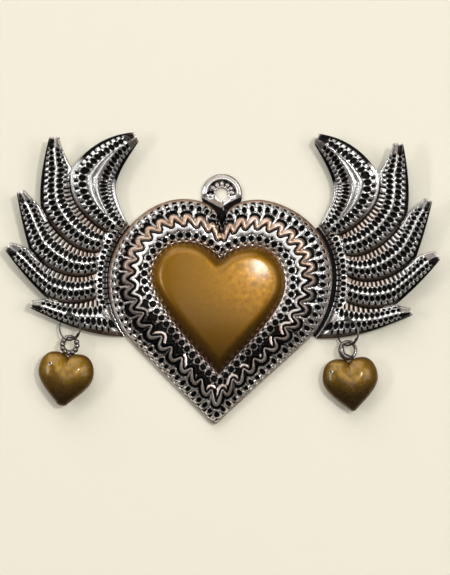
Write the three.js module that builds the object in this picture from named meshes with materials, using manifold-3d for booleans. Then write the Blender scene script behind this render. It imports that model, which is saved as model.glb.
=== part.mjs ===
import * as THREE from "three";
import { mergeVertices } from "three/addons/utils/BufferGeometryUtils.js";
import Module from "manifold-3d";

// Tin winged heart: a wall ornament of thin embossed sheet metal.
// A hollow repousse heart frames a raised gilt heart, two five-feather wings are soldered
// behind its sides, and a small puffed heart hangs from each wing on a jump ring.
// Millimetres. X runs to the right, Z up, Y toward the wall, and the front faces -Y.
// The origin is the centre of the hanging hole, at half the thickness of the tab.
// Heights are measured from the wall toward the viewer.

// Sheet, solder and clearances
const SHEET = 0.5;
const SOLDER_FILM = 0.1;
const FIT = 0.3;
const LAYER_BACK = SHEET + SOLDER_FILM;
const LAYER_FRONT = LAYER_BACK + SHEET;
const TAB_MID = LAYER_BACK + SHEET / 2;
const MITRE_LIMIT = 0.75;
const MERGE_DISTANCE = 1e-4;
const PUNCH_SIDES = 16;

// Outlines are in percent of the width and height that are named with them.
// Outer outline of the heart frame, from the cleft round each side to the rounded tip,
// measured from the hanging hole
const FRAME_WIDTH = 113.3;
const FRAME_HEIGHT = 114;
const OUTER_CLEFT = [0.1, -12.4];
const OUTER_TIP = [-3.3, -102.1];
const OUTER_LEFT = {
  upper: [
    [[-2.3, -6.3], [-6.7, -2.1], [-17.3, -2.1]],
    [[-33.1, -2.1], [-50.6, -18.6], [-50.6, -38.1]],
  ],
  lower: [
    [[-50.6, -48.9], [-47.1, -58.9], [-39.1, -66.9]],
    [[-28, -78.2], [-16.9, -89.4], [-5.7, -100.5]],
    [[-5, -101.4], [-4.2, -102.1], OUTER_TIP],
  ],
};
const OUTER_RIGHT = {
  upper: [
    [[1.9, -5.8], [7.3, -2.4], [16.2, -2.4]],
    [[23.6, -2.4], [49.4, -9.7], [49.4, -37.2]],
  ],
  lower: [
    [[49.4, -47.5], [45.1, -58.9], [37.5, -65.8]],
    [[24.7, -77.4], [11.9, -88.9], [-0.8, -100.5]],
    [[-1.6, -101.4], [-2.3, -102.1], OUTER_TIP],
  ],
};

// Heart-shaped opening of the frame, measured from the place of the centre heart's peak
const OPENING_WIDTH = 67.3;
const OPENING_HEIGHT = 66.8;
const OPENING_MIDDLE = [-1.1, -45.6];
const INNER_CLEFT = [0.7, 29];
const INNER_TIP = [-0.3, -58.4];
const INNER_LEFT = {
  upper: [
    [[-7.4, 38.3], [-16.3, 41.6], [-25.9, 41.6]],
    [[-39.2, 41.6], [-50.8, 30.5], [-50.8, 15.1]],
  ],
  lower: [
    [[-50.8, -1.6], [-21.7, -35], INNER_TIP],
  ],
};
const INNER_RIGHT = {
  upper: [
    [[8.3, 35.6], [15.6, 38.5], [24.5, 38.5]],
    [[38.5, 38.5], [49.2, 26.8], [49.2, 10.6]],
  ],
  lower: [
    [[49.2, -10.6], [18.3, -35.9], INNER_TIP],
  ],
};

// Embossing of the frame band: waves round each side, and its heights
const WAVES_PER_SIDE = 20;
const SAMPLES_PER_WAVE = 4;
const RIM_HEIGHT = 2.6;
const CREST_HEIGHT = 8;
const LIP_HEIGHT = 6;
const CREST_PLACE = 0.55;
// Each line of the band: share of the way from rim to lip, swing of its wave, and
// height over the band's curve at the wave's outer and inner turns
const BAND_LINES = [
  { share: 0.14, swing: 0, outer: 0.5, inner: 0.5 },
  { share: 0.42, swing: 0.11, outer: -1.4, inner: -0.2 },
  { share: 0.52, swing: 0.1, outer: 0.6, inner: 0.4 },
  { share: 0.6, swing: 0.09, outer: -0.3, inner: -0.5 },
  { share: 0.68, swing: 0.07, outer: 0.5, inner: 0.5 },
  { share: 0.84, swing: 0, outer: -0.8, inner: -0.8 },
  { share: 0.94, swing: 0, outer: 0.4, inner: 0.4 },
];

// Where the frame's edge clears the tab and the wings, this far beyond them
const SKIRT_MARGIN = 2.5;

// Back plate
const PLATE_INSET = 0.9;

// Centre heart
const HEART_FLANGE = 2;
const HEART_SEAT = 0.15;
const HEART_LEDGE = 1;
const HEART_BEVEL_SHARE = 0.87;
const HEART_BEVEL_HEIGHT = 10;
const HEART_PEAK_HEIGHT = 13.5;
const HEART_SIDES = 56;
// Each ring of its dome: share of the outline, and share of the rise from bevel to peak
const DOME_RINGS = [
  { share: 0.68, rise: 0.52 },
  { share: 0.4, rise: 0.87 },
];

// Hanging tab
const HOLE_RADIUS = 3.25;
const TAB_RADIUS = 10.3;
const TAB_POINT = 17.5;
const TAB_EMBOSS = 0.6;
const TAB_SIDES = 32;
const TAB_EMBOSS_FADE = [-2.4, 0.4];
// Each ring of the tab: share of the way from hole to edge, and share of the embossing
const TAB_RINGS = [
  { share: 0, rise: 0.6 },
  { share: 0.16, rise: 1 },
  { share: 0.34, rise: 0 },
  { share: 0.8, rise: 0.1 },
  { share: 0.92, rise: 1 },
  { share: 1, rise: 0.4 },
];

// Wings: edges of the left wing's feathers, from the top inner edge to the bottom edge,
// measured from the frame's widest place
const WING_LENGTH = 52;
const WING_HEIGHT = 103.2;
const WING_EDGES = [
  {
    root: [[19.6, 27.1], [11, 35.7], [5.2, 42.6], [7.9, 47.5]],
    lowerTip: [[10.4, 54.1], [29.8, 67.6]],
  },
  {
    root: [[-0.4, 23], [-19, 28], [-44, 39.5], [-34.8, 54.7]],
    upperTip: [[-11.9, 70.7], [25, 72.2]],
    lowerTip: [[-41.9, 60.3], [-46.9, 69.7]],
  },
  {
    root: [[-8.1, 14.1], [-28.3, 11], [-55.2, 23.6], [-65.4, 35.7]],
    upperTip: [[-67.5, 49.8], [-56.7, 69.7]],
    lowerTip: [[-72.9, 39.7], [-81, 44]],
  },
  {
    root: [[-11, 3.9], [-21.7, 0.6], [-50.2, -0.9], [-76.5, 14.9]],
    upperTip: [[-84.6, 29.5], [-88.3, 42.5]],
    lowerTip: [[-86.9, 18.4], [-95, 18.3]],
  },
  {
    root: [[-11.9, -8.8], [-29.8, -12.4], [-42.9, -11.6], [-60, -8.8]],
    upperTip: [[-83.5, 2.7], [-99.4, 14.4]],
    lowerTip: [[-67.1, -9.5], [-74, -10.1]],
  },
  {
    root: [[14.8, -27.7], [-9.4, -27.7], [-36, -23.6], [-60.2, -17.4]],
    upperTip: [[-68.5, -15.6], [-76.5, -13.5]],
  },
];
const FEATHER_COLUMNS = 4;
const VALLEY_ROWS = 5;
const TIP_ROWS = 4;
const WING_LIFT = THREE.MathUtils.degToRad(8);
const WING_BASE = 2.8;
const FEATHER_RISE = 2.4;
const FEATHER_STEEPNESS = 0.3;
const FEATHER_ROUNDNESS = 0.8;
const ROOT_RISE_SHARE = 0.4;
const WING_FLAT_EDGE = 0.8;
const WING_STEP = 2.2;
const FLANGE_DEPTH = 6;
const ROOT_BEAD_RISE = 0.6;
const RIGHT_WING_TURN = THREE.MathUtils.degToRad(-3.6);
const RIGHT_WING_DROP = 1.4;

// Hanging charms
const WIRE_RADIUS = 0.45;
const RING_RADIUS = 6.4;
const RING_HOLE_RADIUS = 1.9;
const RING_LAP = 0.55;
const RING_STEPS = 30;
const RING_START = THREE.MathUtils.degToRad(-25);
const RING_OVERLAP = THREE.MathUtils.degToRad(34);
const BAIL_RADIUS = 4.3;
const BAIL_BEADS = 12;
const BAIL_SEAT = 0.9;
const BAIL_SIDES = 8;
const ROWS_PER_BEAD = 3;
const BEAD_RADIUS = 1.05;
const BEAD_WAIST = 0.8;
const BAIL_TURN = THREE.MathUtils.degToRad(20);
const CHARM_WIDTH = 28;
const CHARM_HEIGHT = 26.9;
const CHARM_THICKNESS = 11;
const CHARM_SIDES = 24;
const CHARM_MIDDLE = [0, -35.3];
const CHARM_TIP = [0, -91.4];
const CHARM_TIP_ROUND = 1.5;
const CHARM_SHOULDER = [
  [[3, 5.5], [10, 8.6], [22.5, 8.6]],
  [[40, 8.6], [50, -8.5], [50, -28.3]],
];
const CHARM_FLANK = [[50, -52], [22.9, -72.1]];
const CHARM_RINGS = [1, 0.93, 0.76, 0.48];
const VENT_RADIUS = 0.6;
const HANGERS = {
  left: {
    hole: [-37.3, -17],
    turn: THREE.MathUtils.degToRad(35),
    lean: THREE.MathUtils.degToRad(7.5),
    vent: [-29.3, -14.9],
    tipWidth: 4.4,
  },
  right: {
    hole: [-14.2, -17.8],
    turn: THREE.MathUtils.degToRad(40),
    lean: THREE.MathUtils.degToRad(-5.4),
    vent: [-33.6, -13.8],
    tipWidth: 2.6,
  },
};

// Solder tacks
const TACK_RADIUS = 0.85;
const TACK_SIDES = 6;
const BACK_TACKS = 6;
const HEART_TACKS = 6;

const wasm = await Module();
wasm.setup();

const yAt = (height) => TAB_MID - height;
// A point given in percent of a width and a height, from a middle
const sized = (width, height, middle) => ([x, z]) => (
  new THREE.Vector2((x * width) / 100, (z * height) / 100).add(middle)
);
const onFrame = sized(FRAME_WIDTH, FRAME_HEIGHT, new THREE.Vector2());
const onCharm = sized(CHARM_WIDTH, CHARM_HEIGHT, new THREE.Vector2());
const openingMiddle = onFrame(OPENING_MIDDLE);
const onOpening = sized(OPENING_WIDTH, OPENING_HEIGHT, openingMiddle);
const wingRoot = onFrame(OUTER_LEFT.upper[1][2]);
const onWing = sized(WING_LENGTH, WING_HEIGHT, wingRoot);
const raised = (point, height) => new THREE.Vector3(point.x, yAt(height), point.y);

function solidOf(geometry) {
  const bare = geometry.clone();
  bare.deleteAttribute("normal");
  bare.deleteAttribute("uv");
  const merged = mergeVertices(bare, MERGE_DISTANCE);
  const vertProperties = new Float32Array(merged.attributes.position.array);
  const triVerts = new Uint32Array(merged.index.array);
  return new wasm.Manifold(new wasm.Mesh({ numProp: 3, vertProperties, triVerts }));
}

function geometryOf(solid) {
  const mesh = solid.getMesh();
  const geometry = new THREE.BufferGeometry();
  geometry.setAttribute("position", new THREE.Float32BufferAttribute(mesh.vertProperties, 3));
  geometry.setIndex(Array.from(mesh.triVerts));
  geometry.computeVertexNormals();
  return geometry;
}

// Gives a surface the sheet's thickness: the back lies one thickness behind the front along
// the mean normal, and every open edge is closed by a rim. A flat edge keeps its height.
function sheetMetal(front, faces, outward, isFlatEdge = () => false) {
  const corners = faces.map((face) => face.map((i) => front[i]));
  const faceNormals = corners.map(([a, b, c]) => (
    new THREE.Vector3().crossVectors(b.clone().sub(a), c.clone().sub(a))
  ));
  const facing = faceNormals.reduce((sum, normal) => sum + normal.y, 0);
  const flip = Math.sign(facing) !== Math.sign(outward);
  const outside = flip ? faces.map(([a, b, c]) => [a, c, b]) : faces;
  faceNormals.forEach((normal) => normal.multiplyScalar(flip ? -1 : 1).normalize());

  const normals = front.map(() => new THREE.Vector3());
  outside.forEach((face, k) => {
    face.forEach((i, corner) => {
      const here = front[i];
      const next = front[face[(corner + 1) % 3]].clone().sub(here);
      const last = front[face[(corner + 2) % 3]].clone().sub(here);
      normals[i].addScaledVector(faceNormals[k], next.angleTo(last));
    });
  });
  normals.forEach((normal, i) => {
    if (isFlatEdge(i)) normal.y = 0;
    normal.normalize();
  });
  const spread = front.map(() => 1);
  outside.forEach((face, k) => face.forEach((i) => {
    spread[i] = Math.min(spread[i], normals[i].dot(faceNormals[k]));
  }));

  const count = front.length;
  const back = front.map((point, i) => (
    point.clone().addScaledVector(normals[i], -SHEET / Math.max(spread[i], MITRE_LIMIT))
  ));
  const edges = new Set(outside.flatMap(([a, b, c]) => [`${a} ${b}`, `${b} ${c}`, `${c} ${a}`]));
  const index = [];
  outside.forEach(([a, b, c]) => {
    index.push(a, b, c, count + a, count + c, count + b);
    [[a, b], [b, c], [c, a]].forEach(([from, to]) => {
      if (edges.has(`${to} ${from}`)) return;
      index.push(to, from, count + from, to, count + from, count + to);
    });
  });
  const geometry = new THREE.BufferGeometry();
  const places = [...front, ...back].flatMap((point) => [point.x, point.y, point.z]);
  geometry.setAttribute("position", new THREE.Float32BufferAttribute(places, 3));
  geometry.setIndex(index);
  geometry.computeVertexNormals();
  return geometry;
}

// Faces between rings of equal length, the last of them closed by a fan when it has a middle
function ringFaces(rings, sides, hasMiddle) {
  const faces = [];
  for (let ring = 0; ring + 1 < rings; ring += 1) {
    for (let i = 0; i < sides; i += 1) {
      const a = ring * sides + i;
      const b = ring * sides + ((i + 1) % sides);
      faces.push([a, b, b + sides], [a, b + sides, a + sides]);
    }
  }
  const middle = rings * sides;
  for (let i = 0; hasMiddle && i < sides; i += 1) {
    faces.push([middle - sides + i, middle - sides + ((i + 1) % sides), middle]);
  }
  return faces;
}

function curveThrough(start, pieces, toPoint) {
  const path = new THREE.CurvePath();
  pieces.reduce((from, curve) => {
    path.add(new THREE.CubicBezierCurve(...[from, ...curve].map(toPoint)));
    return curve[2];
  }, start);
  return path;
}

// Points round a heart outline, cleft first, then down the left side and up the right
function heartOutline(cleft, left, right, toPoint, perSide) {
  const upperCount = perSide / 2;
  const half = (side) => {
    const turn = side.upper[side.upper.length - 1][2];
    const upper = curveThrough(cleft, side.upper, toPoint).getSpacedPoints(upperCount);
    const lower = curveThrough(turn, side.lower, toPoint).getSpacedPoints(perSide - upperCount);
    return [...upper, ...lower.slice(1)];
  };
  const down = half(left);
  const up = half(right).reverse();
  return [...down.slice(0, -1), ...up.slice(0, -1)];
}

const BAND_SIDES = 2 * WAVES_PER_SIDE * SAMPLES_PER_WAVE;
const frameOutline = (perSide) => (
  heartOutline(OUTER_CLEFT, OUTER_LEFT, OUTER_RIGHT, onFrame, perSide)
);
const openingOutline = (perSide) => (
  heartOutline(INNER_CLEFT, INNER_LEFT, INNER_RIGHT, onOpening, perSide)
);
const outerLine = frameOutline(BAND_SIDES / 2);
const innerLine = openingOutline(BAND_SIDES / 2);
const bandPoint = (column, share) => outerLine[column].clone().lerp(innerLine[column], share);
const bandWidth = (column) => outerLine[column].distanceTo(innerLine[column]);

function bandHeight(share) {
  const rise = share < CREST_PLACE ? CREST_HEIGHT - RIM_HEIGHT : CREST_HEIGHT - LIP_HEIGHT;
  const reach = share < CREST_PLACE ? CREST_PLACE : 1 - CREST_PLACE;
  return CREST_HEIGHT - rise * ((share - CREST_PLACE) / reach) ** 2;
}

// Nearest place on the frame's outline, with the way out from there and the distance outside,
// which is negative inside the frame
function frameEdge(point) {
  const nearest = { distance: Infinity };
  outerLine.forEach((a, i) => {
    const along = outerLine[(i + 1) % outerLine.length].clone().sub(a);
    const share = point.clone().sub(a).dot(along) / along.lengthSq();
    const foot = a.clone().addScaledVector(along, THREE.MathUtils.clamp(share, 0, 1));
    const distance = foot.distanceTo(point);
    if (distance >= Math.abs(nearest.distance)) return;
    const out = new THREE.Vector2(along.y, -along.x).normalize();
    const side = point.clone().sub(foot).dot(out) < 0 ? -1 : 1;
    Object.assign(nearest, { foot, out, distance: side * distance });
  });
  return nearest;
}

// Where the tab and the wings pass under the frame, its edge stands clear of them
function skirtFoot(point) {
  const behindTab = Math.abs(point.x) < TAB_RADIUS + SKIRT_MARGIN && point.y > -TAB_POINT;
  const [rootTop, rootBottom] = [0, -1].map((k) => onWing(WING_EDGES.at(k).root[0]).y);
  const above = point.y > rootTop + SKIRT_MARGIN;
  const below = point.y < rootBottom - RIGHT_WING_DROP - SKIRT_MARGIN;
  const behindWing = !above && !below;
  return behindTab || behindWing ? LAYER_FRONT + FIT : LAYER_BACK;
}

function heartFrame() {
  const front = [];
  const columns = outerLine.map((point, column) => column);
  columns.forEach((column) => {
    front.push(raised(outerLine[column], skirtFoot(outerLine[column])));
  });
  columns.forEach((column) => front.push(raised(outerLine[column], RIM_HEIGHT)));
  BAND_LINES.forEach(({ share, swing, outer, inner }) => {
    columns.forEach((column) => {
      const wave = -Math.cos((2 * Math.PI * column) / SAMPLES_PER_WAVE);
      const place = share - swing * wave;
      const emboss = THREE.MathUtils.mapLinear(wave, -1, 1, inner, outer);
      front.push(raised(bandPoint(column, place), bandHeight(place) + emboss));
    });
  });
  columns.forEach((column) => front.push(raised(innerLine[column], LIP_HEIGHT)));
  const rings = BAND_LINES.length + 3;
  return sheetMetal(front, ringFaces(rings, BAND_SIDES, false), -1, (i) => i < BAND_SIDES);
}

function backPlate() {
  const outline = outerLine
    .map((point, column) => bandPoint(column, PLATE_INSET / bandWidth(column)))
    .filter((point, column) => column % 2 === 0);
  const plate = new THREE.ExtrudeGeometry(new THREE.Shape(outline), {
    depth: SHEET,
    bevelEnabled: false,
  });
  plate.rotateX(Math.PI / 2);
  plate.translate(0, yAt(0), 0);
  return plate;
}

function centerHeart() {
  const opening = openingOutline(HEART_SIDES / 2);
  const outside = frameOutline(HEART_SIDES / 2);
  const reach = Math.min(...opening.map((point) => point.distanceTo(openingMiddle)));
  const scaled = (share) => opening.map((point) => openingMiddle.clone().lerp(point, share));
  const inset = (gap) => scaled(1 - gap / reach);
  const flangeHeight = LIP_HEIGHT - SHEET - HEART_SEAT;
  const domeRise = HEART_PEAK_HEIGHT - HEART_BEVEL_HEIGHT;
  const flange = opening.map((point, i) => (
    point.clone().lerp(outside[i], HEART_FLANGE / point.distanceTo(outside[i]))
  ));
  const rows = [
    { ring: flange, height: flangeHeight },
    { ring: inset(FIT), height: flangeHeight },
    { ring: inset(2 * FIT), height: LIP_HEIGHT + HEART_LEDGE },
    { ring: scaled(HEART_BEVEL_SHARE), height: HEART_BEVEL_HEIGHT },
    ...DOME_RINGS.map(({ share, rise }) => (
      { ring: scaled(share), height: HEART_BEVEL_HEIGHT + rise * domeRise }
    )),
  ];
  const front = rows.flatMap(({ ring, height }) => ring.map((point) => raised(point, height)));
  front.push(raised(openingMiddle, HEART_PEAK_HEIGHT));
  return sheetMetal(front, ringFaces(rows.length, HEART_SIDES, true), -1);
}

function hangingTab() {
  const slope = Math.acos(TAB_RADIUS / TAB_POINT);
  const edgeReach = (angle) => {
    const fromPoint = Math.acos(-Math.sin(angle));
    return fromPoint < slope ? TAB_RADIUS / Math.cos(slope - fromPoint) : TAB_RADIUS;
  };
  const front = TAB_RINGS.flatMap(({ share, rise }) => (
    Array.from({ length: TAB_SIDES }, (unused, i) => {
      const angle = (2 * Math.PI * i) / TAB_SIDES;
      const radius = THREE.MathUtils.lerp(HOLE_RADIUS, edgeReach(angle), share);
      const point = new THREE.Vector2(Math.cos(angle), Math.sin(angle)).multiplyScalar(radius);
      const shown = THREE.MathUtils.smoothstep(point.y, ...TAB_EMBOSS_FADE);
      return raised(point, LAYER_FRONT + TAB_EMBOSS * rise * shown);
    })
  ));
  return sheetMetal(front, ringFaces(TAB_RINGS.length, TAB_SIDES, false), -1);
}

// Edge of a feather, sampled from its root to its tip
function featherEdge({ root, upperTip, lowerTip }, towardLower) {
  const valley = new THREE.CubicBezierCurve(...root.map(onWing)).getSpacedPoints(VALLEY_ROWS);
  const [bend, tip] = (towardLower ? lowerTip : upperTip).map(onWing);
  const split = valley[VALLEY_ROWS];
  const free = new THREE.QuadraticBezierCurve(split, bend, tip).getSpacedPoints(TIP_ROWS);
  return [...valley, ...free.slice(1)];
}

// Cross section of a feather: valleys at its edges and a ridge along its middle
const featherCurve = (share) => Math.sin(Math.PI * share) ** FEATHER_ROUNDNESS;

function wingPoint(point, form) {
  const clear = frameEdge(point).distance - WING_FLAT_EDGE;
  const lift = Math.tan(WING_LIFT) * Math.max(clear, 0);
  const raise = THREE.MathUtils.smoothstep(clear, 0, WING_STEP);
  return raised(point, LAYER_FRONT + raise * (WING_BASE - LAYER_FRONT + form) + lift * raise);
}

// Left wing: one sheet, five feathers that part beyond the ends of their valleys
function leftWing() {
  const front = [];
  const faces = [];
  const rows = VALLEY_ROWS + TIP_ROWS;
  const feathers = WING_EDGES.slice(1).map((edge, k) => {
    const upper = featherEdge(WING_EDGES[k], true);
    const lower = featherEdge(edge, false);
    return upper.map((start, row) => (
      Array.from({ length: FEATHER_COLUMNS + 1 }, (unused, i) => {
        const share = i / FEATHER_COLUMNS;
        const width = start.distanceTo(lower[row]);
        const full = Math.min(FEATHER_RISE, FEATHER_STEEPNESS * width);
        const rise = full * (row === 0 ? ROOT_RISE_SHARE : 1);
        return { point: start.clone().lerp(lower[row], share), form: rise * featherCurve(share) };
      })
    ));
  });
  const add = ({ point, form }) => front.push(wingPoint(point, form)) - 1;
  const numbers = feathers.map((feather) => feather.map((row) => row.map(() => -1)));
  feathers.forEach((feather, k) => feather.forEach((row, r) => row.forEach((place, i) => {
    const shared = k > 0 && i === 0 && r <= VALLEY_ROWS;
    numbers[k][r][i] = shared ? numbers[k - 1][r][FEATHER_COLUMNS] : add(place);
  })));
  numbers.forEach((feather) => {
    for (let r = 0; r < rows; r += 1) {
      for (let i = 0; i < FEATHER_COLUMNS; i += 1) {
        const [a, b] = [feather[r][i], feather[r][i + 1]];
        const [d, c] = [feather[r + 1][i], feather[r + 1][i + 1]];
        faces.push([a, b, c], [a, c, d]);
      }
    }
  });

  const rootPlaces = feathers.flatMap((feather, k) => feather[0].slice(k === 0 ? 0 : 1));
  const edges = rootPlaces.map(({ point }) => frameEdge(point));
  const flat = edges.map(({ distance }) => Math.min(WING_FLAT_EDGE, distance - FIT));
  const bands = [
    { form: ROOT_BEAD_RISE, reach: (i) => (edges[i].distance + flat[i]) / 2 },
    { form: 0, reach: (i) => flat[i] },
    { form: 0, reach: () => -FLANGE_DEPTH },
  ];
  let outer = numbers.flatMap((feather, k) => feather[0].slice(k === 0 ? 0 : 1));
  bands.forEach(({ form, reach }) => {
    const band = edges.map(({ foot, out }, i) => (
      add({ point: foot.clone().addScaledVector(out, reach(i)), form })
    ));
    for (let i = 0; i + 1 < outer.length; i += 1) {
      faces.push([outer[i], band[i], band[i + 1]], [outer[i], band[i + 1], outer[i + 1]]);
    }
    outer = band;
  });
  return sheetMetal(front, faces, -1);
}

function pierced(geometry, hole, radius) {
  const punch = new THREE.CylinderGeometry(radius, radius, 2 * WING_LENGTH, PUNCH_SIDES);
  punch.translate(hole.x, 0, hole.y);
  return geometryOf(solidOf(geometry).subtract(solidOf(punch)));
}

// The right wing is the left one turned over, turned at its root and set a little lower
const toRight = new THREE.Matrix4()
  .makeTranslation(-wingRoot.x, 0, wingRoot.y - RIGHT_WING_DROP)
  .multiply(new THREE.Matrix4().makeRotationY(-RIGHT_WING_TURN))
  .multiply(new THREE.Matrix4().makeTranslation(wingRoot.x, 0, -wingRoot.y))
  .multiply(new THREE.Matrix4().makeScale(-1, 1, 1));

function rightWing() {
  const wing = leftWing().applyMatrix4(toRight);
  wing.setIndex(Array.from(wing.index.array).reverse());
  return wing;
}

// A jump ring is a turn of wire whose ends lie side by side
class LappedRing extends THREE.Curve {
  getPoint(share) {
    const angle = RING_START - share * (2 * Math.PI + RING_OVERLAP);
    const side = THREE.MathUtils.lerp(-RING_LAP, RING_LAP, share);
    return new THREE.Vector3(RING_RADIUS * Math.cos(angle), side, RING_RADIUS * Math.sin(angle));
  }
}

function jumpRing() {
  const section = new THREE.Shape();
  section.absarc(0, 0, WIRE_RADIUS, 0, 2 * Math.PI, false);
  return new THREE.ExtrudeGeometry(section, {
    steps: RING_STEPS,
    curveSegments: 4,
    extrudePath: new LappedRing(),
    bevelEnabled: false,
  });
}

// A bail is a closed loop of beaded wire
function beadedBail() {
  const along = BAIL_BEADS * ROWS_PER_BEAD;
  const bail = new THREE.TorusGeometry(BAIL_RADIUS, BEAD_RADIUS, BAIL_SIDES, along);
  const places = bail.attributes.position;
  for (let i = 0; i < places.count; i += 1) {
    const point = new THREE.Vector3().fromBufferAttribute(places, i);
    const centre = new THREE.Vector3(point.x, point.y, 0).setLength(BAIL_RADIUS);
    const swell = 0.5 + 0.5 * Math.cos(BAIL_BEADS * Math.atan2(point.y, point.x));
    const radius = THREE.MathUtils.lerp(BEAD_WAIST, BEAD_RADIUS, swell);
    point.sub(centre).multiplyScalar(radius / BEAD_RADIUS).add(centre);
    places.setXYZ(i, point.x, point.y, point.z);
  }
  bail.rotateX(Math.PI / 2);
  return bail;
}

// Half of a puffed heart, from the seam to the middle of its swelling
function charmShell(tipWidth, outward) {
  const tip = (50 * tipWidth) / CHARM_WIDTH;
  const lowest = CHARM_TIP[1];
  const underside = [
    [...CHARM_FLANK, [tip, lowest + CHARM_TIP_ROUND]],
    [[0.7 * tip, lowest], [0.3 * tip, lowest], CHARM_TIP],
  ];
  const side = (hand) => {
    const turned = (curves) => curves.map((curve) => curve.map(([x, z]) => [hand * x, z]));
    return { upper: turned(CHARM_SHOULDER), lower: turned(underside) };
  };
  const outline = heartOutline([0, 0], side(-1), side(1), onCharm, CHARM_SIDES / 2);
  const middle = onCharm(CHARM_MIDDLE);
  const swell = (share) => outward * (CHARM_THICKNESS / 2) * Math.sqrt(1 - share * share);
  const front = CHARM_RINGS.flatMap((share) => outline.map((point) => {
    const spot = middle.clone().lerp(point, share);
    return new THREE.Vector3(spot.x, swell(share), spot.y);
  }));
  front.push(new THREE.Vector3(middle.x, swell(0), middle.y));
  const faces = ringFaces(CHARM_RINGS.length, CHARM_SIDES, true);
  return sheetMetal(front, faces, outward, (i) => i < CHARM_SIDES);
}

const metal = (color, roughness, metalness = 1) => (
  new THREE.MeshStandardMaterial({ color, roughness, metalness })
);
const tin = (shade) => metal(shade, 0.3);
const gilt = (shade) => metal(shade, 0.35, 0.9);
const solderGrey = () => metal(0x8f8f8c, 0.5);

const ornament = new THREE.Group();

function place(parent, name, geometry, material) {
  const mesh = new THREE.Mesh(geometry, material);
  mesh.name = name;
  parent.add(mesh);
  return mesh;
}

// A jump ring hangs from its hole, and the bail and the puffed heart hang on the ring
function hanger(name, { turn, lean, vent, tipWidth }, hole, wingHeight) {
  const swing = new THREE.Group();
  swing.position.copy(raised(hole, wingHeight));
  const ring = place(swing, `jump_ring_${name}`, jumpRing(), tin(0x9a9894));
  ring.position.z = -RING_RADIUS;
  ring.rotation.z = -turn;
  const charm = new THREE.Group();
  charm.position.z = WIRE_RADIUS + FIT + BEAD_RADIUS - BAIL_RADIUS - 2 * RING_RADIUS;
  charm.rotation.y = lean;
  const bail = place(charm, `charm_bail_${name}`, beadedBail(), tin(0xa5a29c));
  bail.rotation.z = BAIL_TURN;
  const cleft = -BAIL_RADIUS - BEAD_RADIUS - BAIL_SEAT;
  const face = pierced(charmShell(tipWidth, -1), onCharm(vent), VENT_RADIUS);
  place(charm, `charm_front_${name}`, face, gilt(0xa67a2c)).position.z = cleft;
  place(charm, `charm_back_${name}`, charmShell(tipWidth, 1), gilt(0x8a642a)).position.z = cleft;
  swing.add(charm);
  ornament.add(swing);
}

// Height of the wing sheet's middle at a hole
function sheetHeight(wing, hole) {
  const start = new THREE.Vector3(hole.x, -WING_LENGTH, hole.y);
  const ray = new THREE.Raycaster(start, new THREE.Vector3(0, 1, 0));
  const mesh = new THREE.Mesh(wing, new THREE.MeshBasicMaterial({ side: THREE.DoubleSide }));
  const hits = ray.intersectObject(mesh).map((hit) => hit.point.y);
  return TAB_MID - (Math.min(...hits) + Math.max(...hits)) / 2;
}

place(ornament, "back_plate", backPlate(), tin(0x77746f));
place(ornament, "heart_frame", heartFrame(), tin(0x8d8a86));
place(ornament, "center_heart", centerHeart(), gilt(0xb07a1e));
place(ornament, "hanging_tab", hangingTab(), tin(0x9b9893));

const sides = {
  left: { wing: leftWing(), fromLeft: new THREE.Matrix4() },
  right: { wing: rightWing(), fromLeft: toRight },
};
Object.entries(sides).forEach(([name, { wing, fromLeft }]) => {
  const { x, y } = onWing(HANGERS[name].hole);
  const centre = new THREE.Vector3(x, 0, y).applyMatrix4(fromLeft);
  const hole = new THREE.Vector2(centre.x, centre.z);
  place(ornament, `wing_${name}`, pierced(wing, hole, RING_HOLE_RADIUS), tin(0x93908b));
  hanger(name, HANGERS[name], hole, sheetHeight(wing, hole));
});

// Tacks inside the frame's edge hold the back plate, and tacks behind the lip the centre heart
function tack(name, point, height) {
  const drop = new THREE.SphereGeometry(TACK_RADIUS, TACK_SIDES, TACK_SIDES - 1);
  const mesh = place(ornament, name, drop, solderGrey());
  mesh.position.copy(raised(point, height));
}

for (let k = 0; k < BACK_TACKS; k += 1) {
  const column = Math.round(((k + 0.5) * BAND_SIDES) / BACK_TACKS);
  const inset = SHEET + TACK_RADIUS + SOLDER_FILM;
  const point = bandPoint(column, inset / bandWidth(column));
  const overFlange = skirtFoot(outerLine[column]) > LAYER_BACK;
  const seat = overFlange ? LAYER_FRONT : SHEET;
  tack(`solder_back_${k + 1}`, point, seat + SOLDER_FILM + TACK_RADIUS);
}

for (let k = 0; k < HEART_TACKS; k += 1) {
  const column = Math.round(((k + 0.5) * BAND_SIDES) / HEART_TACKS);
  const inset = HEART_FLANGE + TACK_RADIUS + SOLDER_FILM;
  const point = bandPoint(column, 1 - inset / bandWidth(column));
  tack(`solder_heart_${k + 1}`, point, LIP_HEIGHT - SHEET + FIT - TACK_RADIUS);
}

export default ornament;
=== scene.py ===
import bpy
import numpy as np
from math import acos, cos, pi, radians, sin, tan
from mathutils import Matrix, Vector


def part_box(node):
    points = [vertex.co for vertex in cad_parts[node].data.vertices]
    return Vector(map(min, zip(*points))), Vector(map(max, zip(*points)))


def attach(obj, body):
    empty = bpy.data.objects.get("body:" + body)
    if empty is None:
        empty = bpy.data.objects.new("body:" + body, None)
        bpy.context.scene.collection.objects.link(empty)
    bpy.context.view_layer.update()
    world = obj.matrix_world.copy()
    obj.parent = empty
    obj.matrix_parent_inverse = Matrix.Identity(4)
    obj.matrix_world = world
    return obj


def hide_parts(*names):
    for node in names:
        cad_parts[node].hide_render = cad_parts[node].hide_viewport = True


# Tin winged heart: its embossed sheets, lacquered hearts and wire, dressed over the CAD frame.
# Sheets are worked out in millimetres: x to the right, z up, height out from the wall.

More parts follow.
